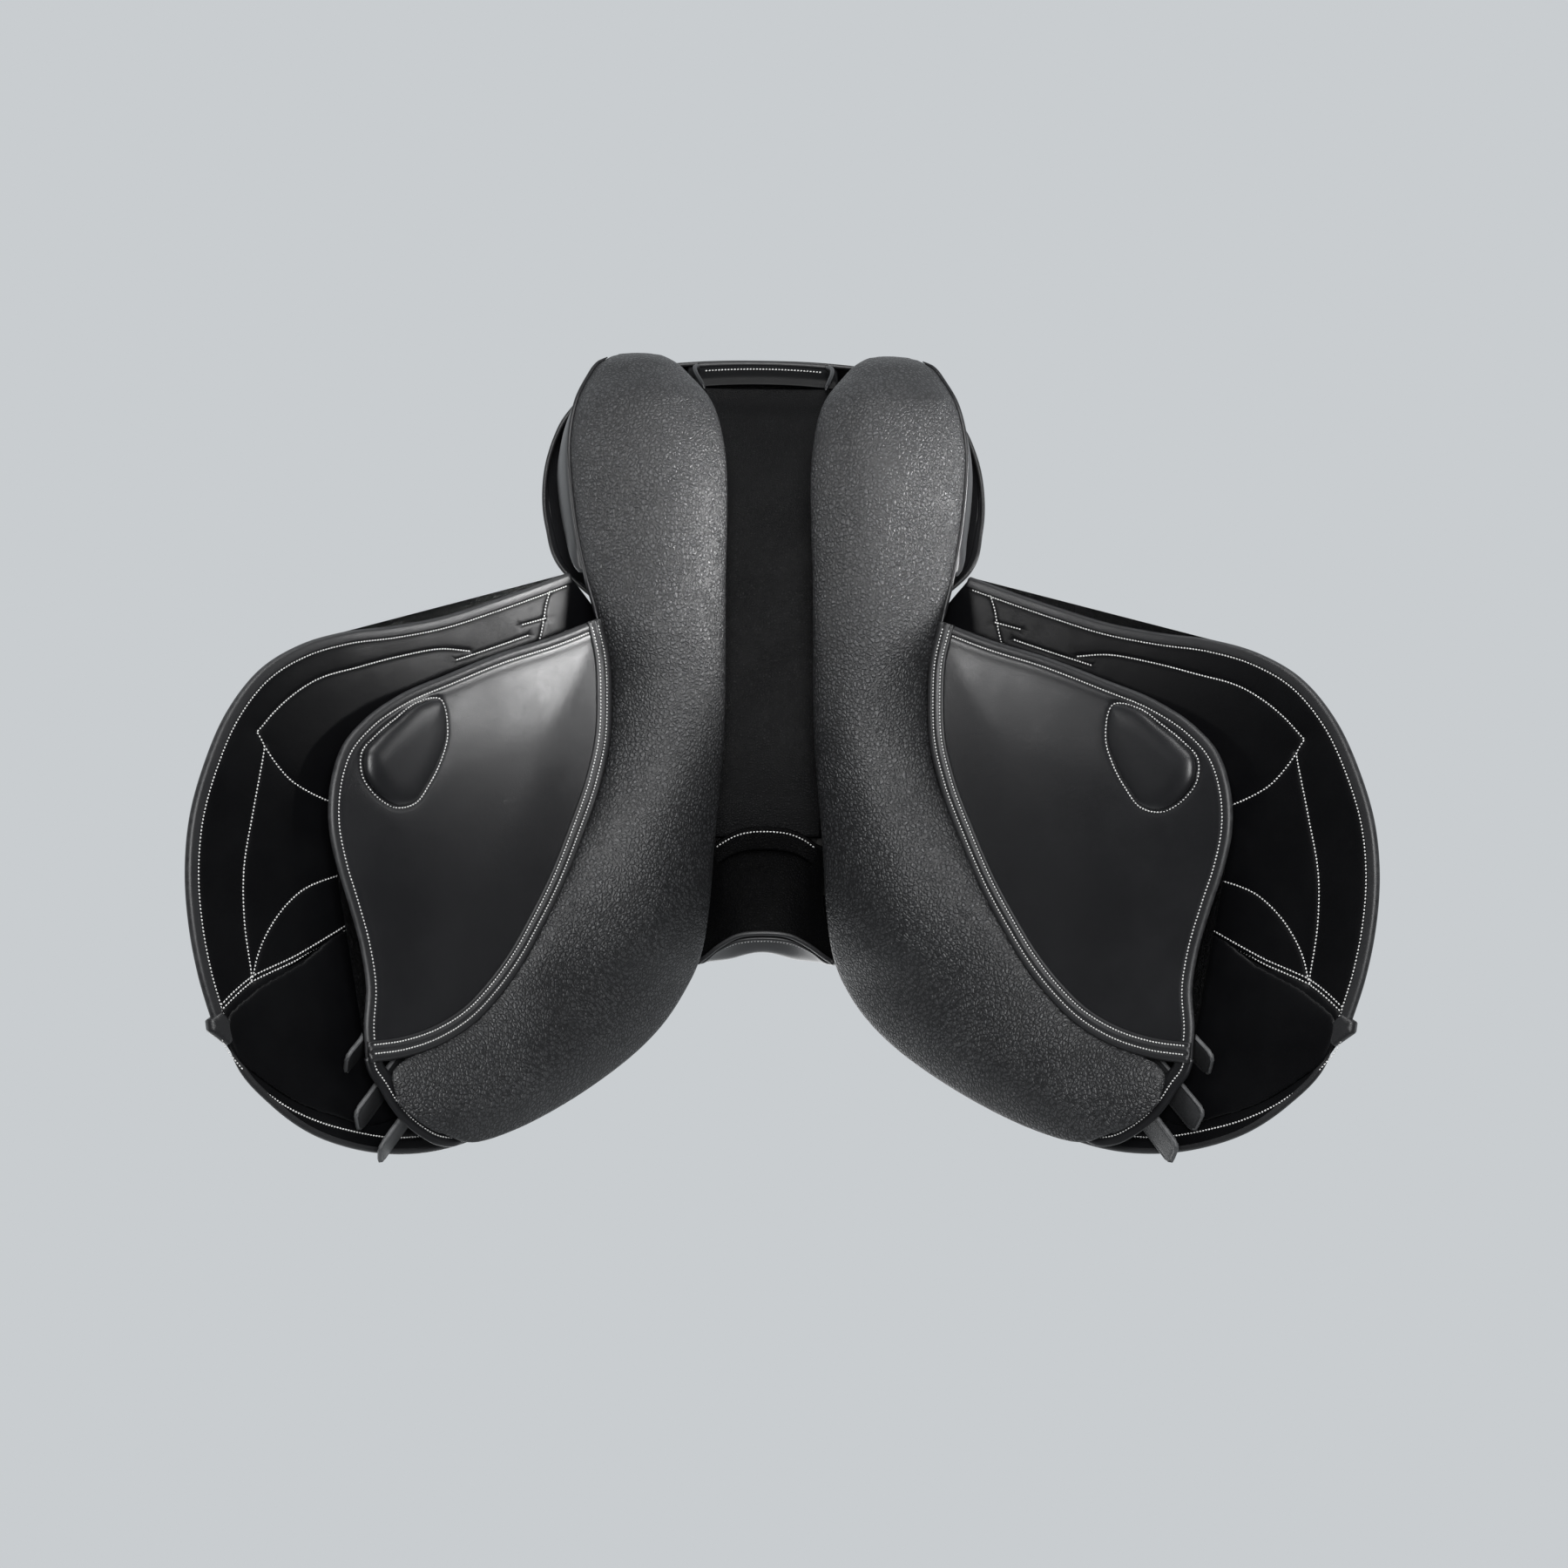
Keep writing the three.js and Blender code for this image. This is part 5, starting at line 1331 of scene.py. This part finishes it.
# how each strap hangs: turn about its length and sideways bow, as shares of its length
HANG = {
    ("billet_rear", "left"): dict(turn=43, bow=16, tail=24, n=-8.8),
    ("billet_middle", "left"): dict(turn=34, bow=2, tail=0, n=-9.0),
    ("billet_front", "left"): dict(turn=42, bow=-2, tail=0, n=-8.8),
    ("billet_rear", "right"): dict(turn=36, bow=2, tail=0, n=-8.8),
    ("billet_middle", "right"): dict(turn=25, bow=-1, tail=0, n=-9.2),
    ("billet_front", "right"): dict(turn=32, bow=0, tail=0, n=-9.2),
}
for (bn, sd), hg in HANG.items():
    B = BILLETS[bn]
    pv, tip = np.array(B["pivot"], float), np.array(B["tip"], float)
    L = np.linalg.norm(tip - pv)
    ax = (tip - pv) / L
    ac = np.array([-ax[1], ax[0]])
    n_mid, T = sum(B["n"]) / 2, 3.3

    def place(s, v, h, ax=ax, ac=ac, pv=pv, L=L, hg=hg, n_mid=n_mid):
        t = np.clip(s / L, 0, 1)
        k = sm(t, 0.28, 0.62)
        turn = np.radians(hg["turn"]) * k
        cn = n_mid + (hg["n"] - n_mid) * k
        bow = hg["bow"] * np.sin(math.pi * np.clip((t - 0.35) / 0.6, 0, 1))
        vv = v * np.cos(turn) + h * np.sin(turn)
        hh = -v * np.sin(turn) + h * np.cos(turn)
        P = pv + s[..., None] * ax + (vv + bow)[..., None] * ac
        return side(P[..., 0], P[..., 1], cn + hh)

    h = 12.5
    loop = curve([(-10, -h + 3), (-7, -h), (L - 4, -h), (L, -h + 4), (L, h - 4), (L - 4, h), (-7, h), (-10, h - 3)], 2.2, True, corners=set(range(8)))
    holes = []
    for j in range(9):
        a = np.linspace(0, 2 * math.pi, 17)[:-1]
        holes.append(np.stack([L - 38 - 25.4 * j + 2.4 * np.cos(a), 2.4 * np.sin(a)], -1))
    st = Sheet(loop, lambda P, d, T=T: -T / 2 + 0.25 * np.exp(-((d - 2.6) / 0.5) ** 2), lambda P, d, T=T: T / 2 - 0.25 * np.exp(-((d - 2.6) / 0.5) ** 2),
               holes=holes, edge=0.9, grid=6, rings=(0.25, 0.7, 1.2, 2.1, 2.6, 3.1, 5), place=place)
    V, F, fm = st.mesh(0.95)
    mir = sd == "right"
    o = make(bn + "_leather_" + sd, V, F, [M_STRAP, M_STRAPEDGE], bn + "_" + sd, fm, mirror=mir)
    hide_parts(bn + "_" + sd)

# ------------------------------------------------------------------ dees, keepers, nails
a = np.linspace(0, 2 * math.pi, 57)[:-1]
ring = np.stack([78 + 14 * np.cos(a), np.full(len(a), -127.0), 42 - 14 + 14 * np.sin(a)], -1)
V, F = tube(ring, 2.15, closed=True, sides=16)
for sd, mir in SIDES:
    o = make("dee_ring_" + sd, V, F, [M_STEEL], "dee_" + sd, mirror=mir)
    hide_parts("dee_" + sd)
# the keeper: a strap folded through the ring's place, with rounded sides
bm = bmesh.new()
bmesh.ops.create_cube(bm, size=1)
bmesh.ops.scale(bm, vec=(7.8, 9.8, 9.8), verts=bm.verts)
bmesh.ops.translate(bm, vec=(78, -126.5, 42.5), verts=bm.verts)
bmesh.ops.bevel(bm, geom=list(bm.edges), offset=1.6, segments=4, profile=0.6, affect="EDGES")
KV = [tuple(v.co) for v in bm.verts]
KF = [tuple(v.index for v in f.verts) for f in bm.faces]
bm.free()
both("dee_keeper_leather", KV, KF, [M_STRAP], "saddle", slot="bridle_leather", replaces=["dee_keeper"])

# ------------------------------------------------------------------ stitching, one piece for each body
def thread_piece(name, rows, body, mirror=False, **k):
    V, F = stitches(rows, **k)
    o = make(name, V, F, [M_THREAD], body, mirror=mirror)
    return o


for sd, mir in SIDES:
    thread_piece("stitching_flap_" + sd, ROWS["flap_left"], "flap_" + sd, mir)
    thread_piece("stitching_sweat_flap_" + sd, ROWS["saddle"], "saddle", mir)
    thread_piece("stitching_skirt_" + sd, ROWS["skirt_left"], "skirt_" + sd, mir)
thread_piece("stitching_gullet", ROWS_X, "saddle")
thread_piece("stitching_seat", ROWS_SEAT, "saddle", r=0.42)

# ------------------------------------------------------------------ camera, light, floor
scene = bpy.context.scene
cam_d = bpy.data.cameras.new("camera")
cam = bpy.data.objects.new("camera", cam_d)
scene.collection.objects.link(cam)
X = Vector((-0.99822044, 0.0, -0.05963189))
Y = Vector((0.00622226, 0.99454122, -0.10415879))
Z = -Vector((-0.05930637, 0.10434448, 0.99277137))
M = Matrix((X, Y, Z)).transposed().to_4x4()
M.translation = Vector((0.128919, -0.237905, -2.383519))
cam.matrix_world = M
cam_d.sensor_width = cam_d.sensor_height = 36
cam_d.lens = 72
cam_d.clip_start, cam_d.clip_end = 0.05, 100
scene.camera = cam

scene.view_settings.view_transform = "Standard"
scene.view_settings.look = "None"
scene.view_settings.exposure = 0
scene.view_settings.gamma = 1

world = bpy.data.worlds.new("studio")
scene.world = world
world.use_nodes = True
wt = world.node_tree
bg = wt.nodes["Background"]
wco = wt.nodes.new("ShaderNodeTexCoord")
wsp = wt.nodes.new("ShaderNodeSeparateXYZ")
wmr = wt.nodes.new("ShaderNodeMapRange")
wmr.interpolation_type = "SMOOTHSTEP"
wmr.inputs["From Min"].default_value, wmr.inputs["From Max"].default_value = -0.12, 0.1
wmx = wt.nodes.new("ShaderNodeMix")
wmx.data_type = "RGBA"
wmx.inputs["A"].default_value = (0.045, 0.046, 0.048, 1)
wmx.inputs["B"].default_value = (0.584, 0.610, 0.631, 1)
wt.links.new(wco.outputs["Generated"], wsp.inputs[0])
wt.links.new(wsp.outputs["Z"], wmr.inputs["Value"])
wt.links.new(wmr.outputs["Result"], wmx.inputs["Factor"])
wlp = wt.nodes.new("ShaderNodeLightPath")
wpl = wt.nodes.new("ShaderNodeMix")
wpl.data_type = "RGBA"
wpl.inputs["B"].default_value = (0.584, 0.610, 0.631, 1)
wt.links.new(wlp.outputs["Is Camera Ray"], wpl.inputs["Factor"])
wt.links.new(wmx.outputs["Result"], wpl.inputs["A"])
wt.links.new(wpl.outputs["Result"], bg.inputs["Color"])
bg.inputs["Strength"].default_value = 1.0


def area(name, loc, target, size, power, shape="RECTANGLE", size_y=None, spread=180):
    d = bpy.data.lights.new(name, "AREA")
    d.shape = shape
    d.size = size
    if shape in ("RECTANGLE", "ELLIPSE"):
        d.size_y = size_y or size
    d.energy = power
    d.spread = math.radians(spread)
    o = bpy.data.objects.new(name, d)
    scene.collection.objects.link(o)
    o.location = loc
    o.rotation_mode = "QUATERNION"
    o.rotation_quaternion = (Vector(target) - Vector(loc)).to_track_quat("-Z", "Y")
    return o


area("nadir_soft", (0.0, 0.25, -2.6), (0, 0.0, 0.0), 1.3, 60)
for sg_, nm_, w_ in ((1, "left", 0.065), (-1, "right", 0.32)):
    area("cross_" + nm_, (sg_ * 0.9, 0.42, -0.3), (-sg_ * 0.125, 0.185, -0.035), 0.2, w_, spread=19)
area("rear_below", (0.0, 1.25, -0.95), (0, 0.1, -0.1), 1.1, 11, size_y=0.4)
area("top_soft", (0.6, -0.6, 1.9), (0, 0.05, 0.0), 1.6, 14)

fm_ = bpy.data.materials.new("floor_paint")
fm_.use_nodes = True
fb = fm_.node_tree.nodes["Principled BSDF"]
fb.inputs["Base Color"].default_value = (0.62, 0.64, 0.655, 1)
fb.inputs["Roughness"].default_value = 0.85
me = bpy.data.meshes.new("floor")
me.from_pydata([(-1.7, -1.7, 0), (1.7, -1.7, 0), (1.7, 1.7, 0), (-1.7, 1.7, 0)], [], [(0, 1, 2, 3)])
me.materials.append(fm_)
floor = bpy.data.objects.new("floor", me)
floor.location.z = -3.4
scene.collection.objects.link(floor)

bpy.context.view_layer.update()
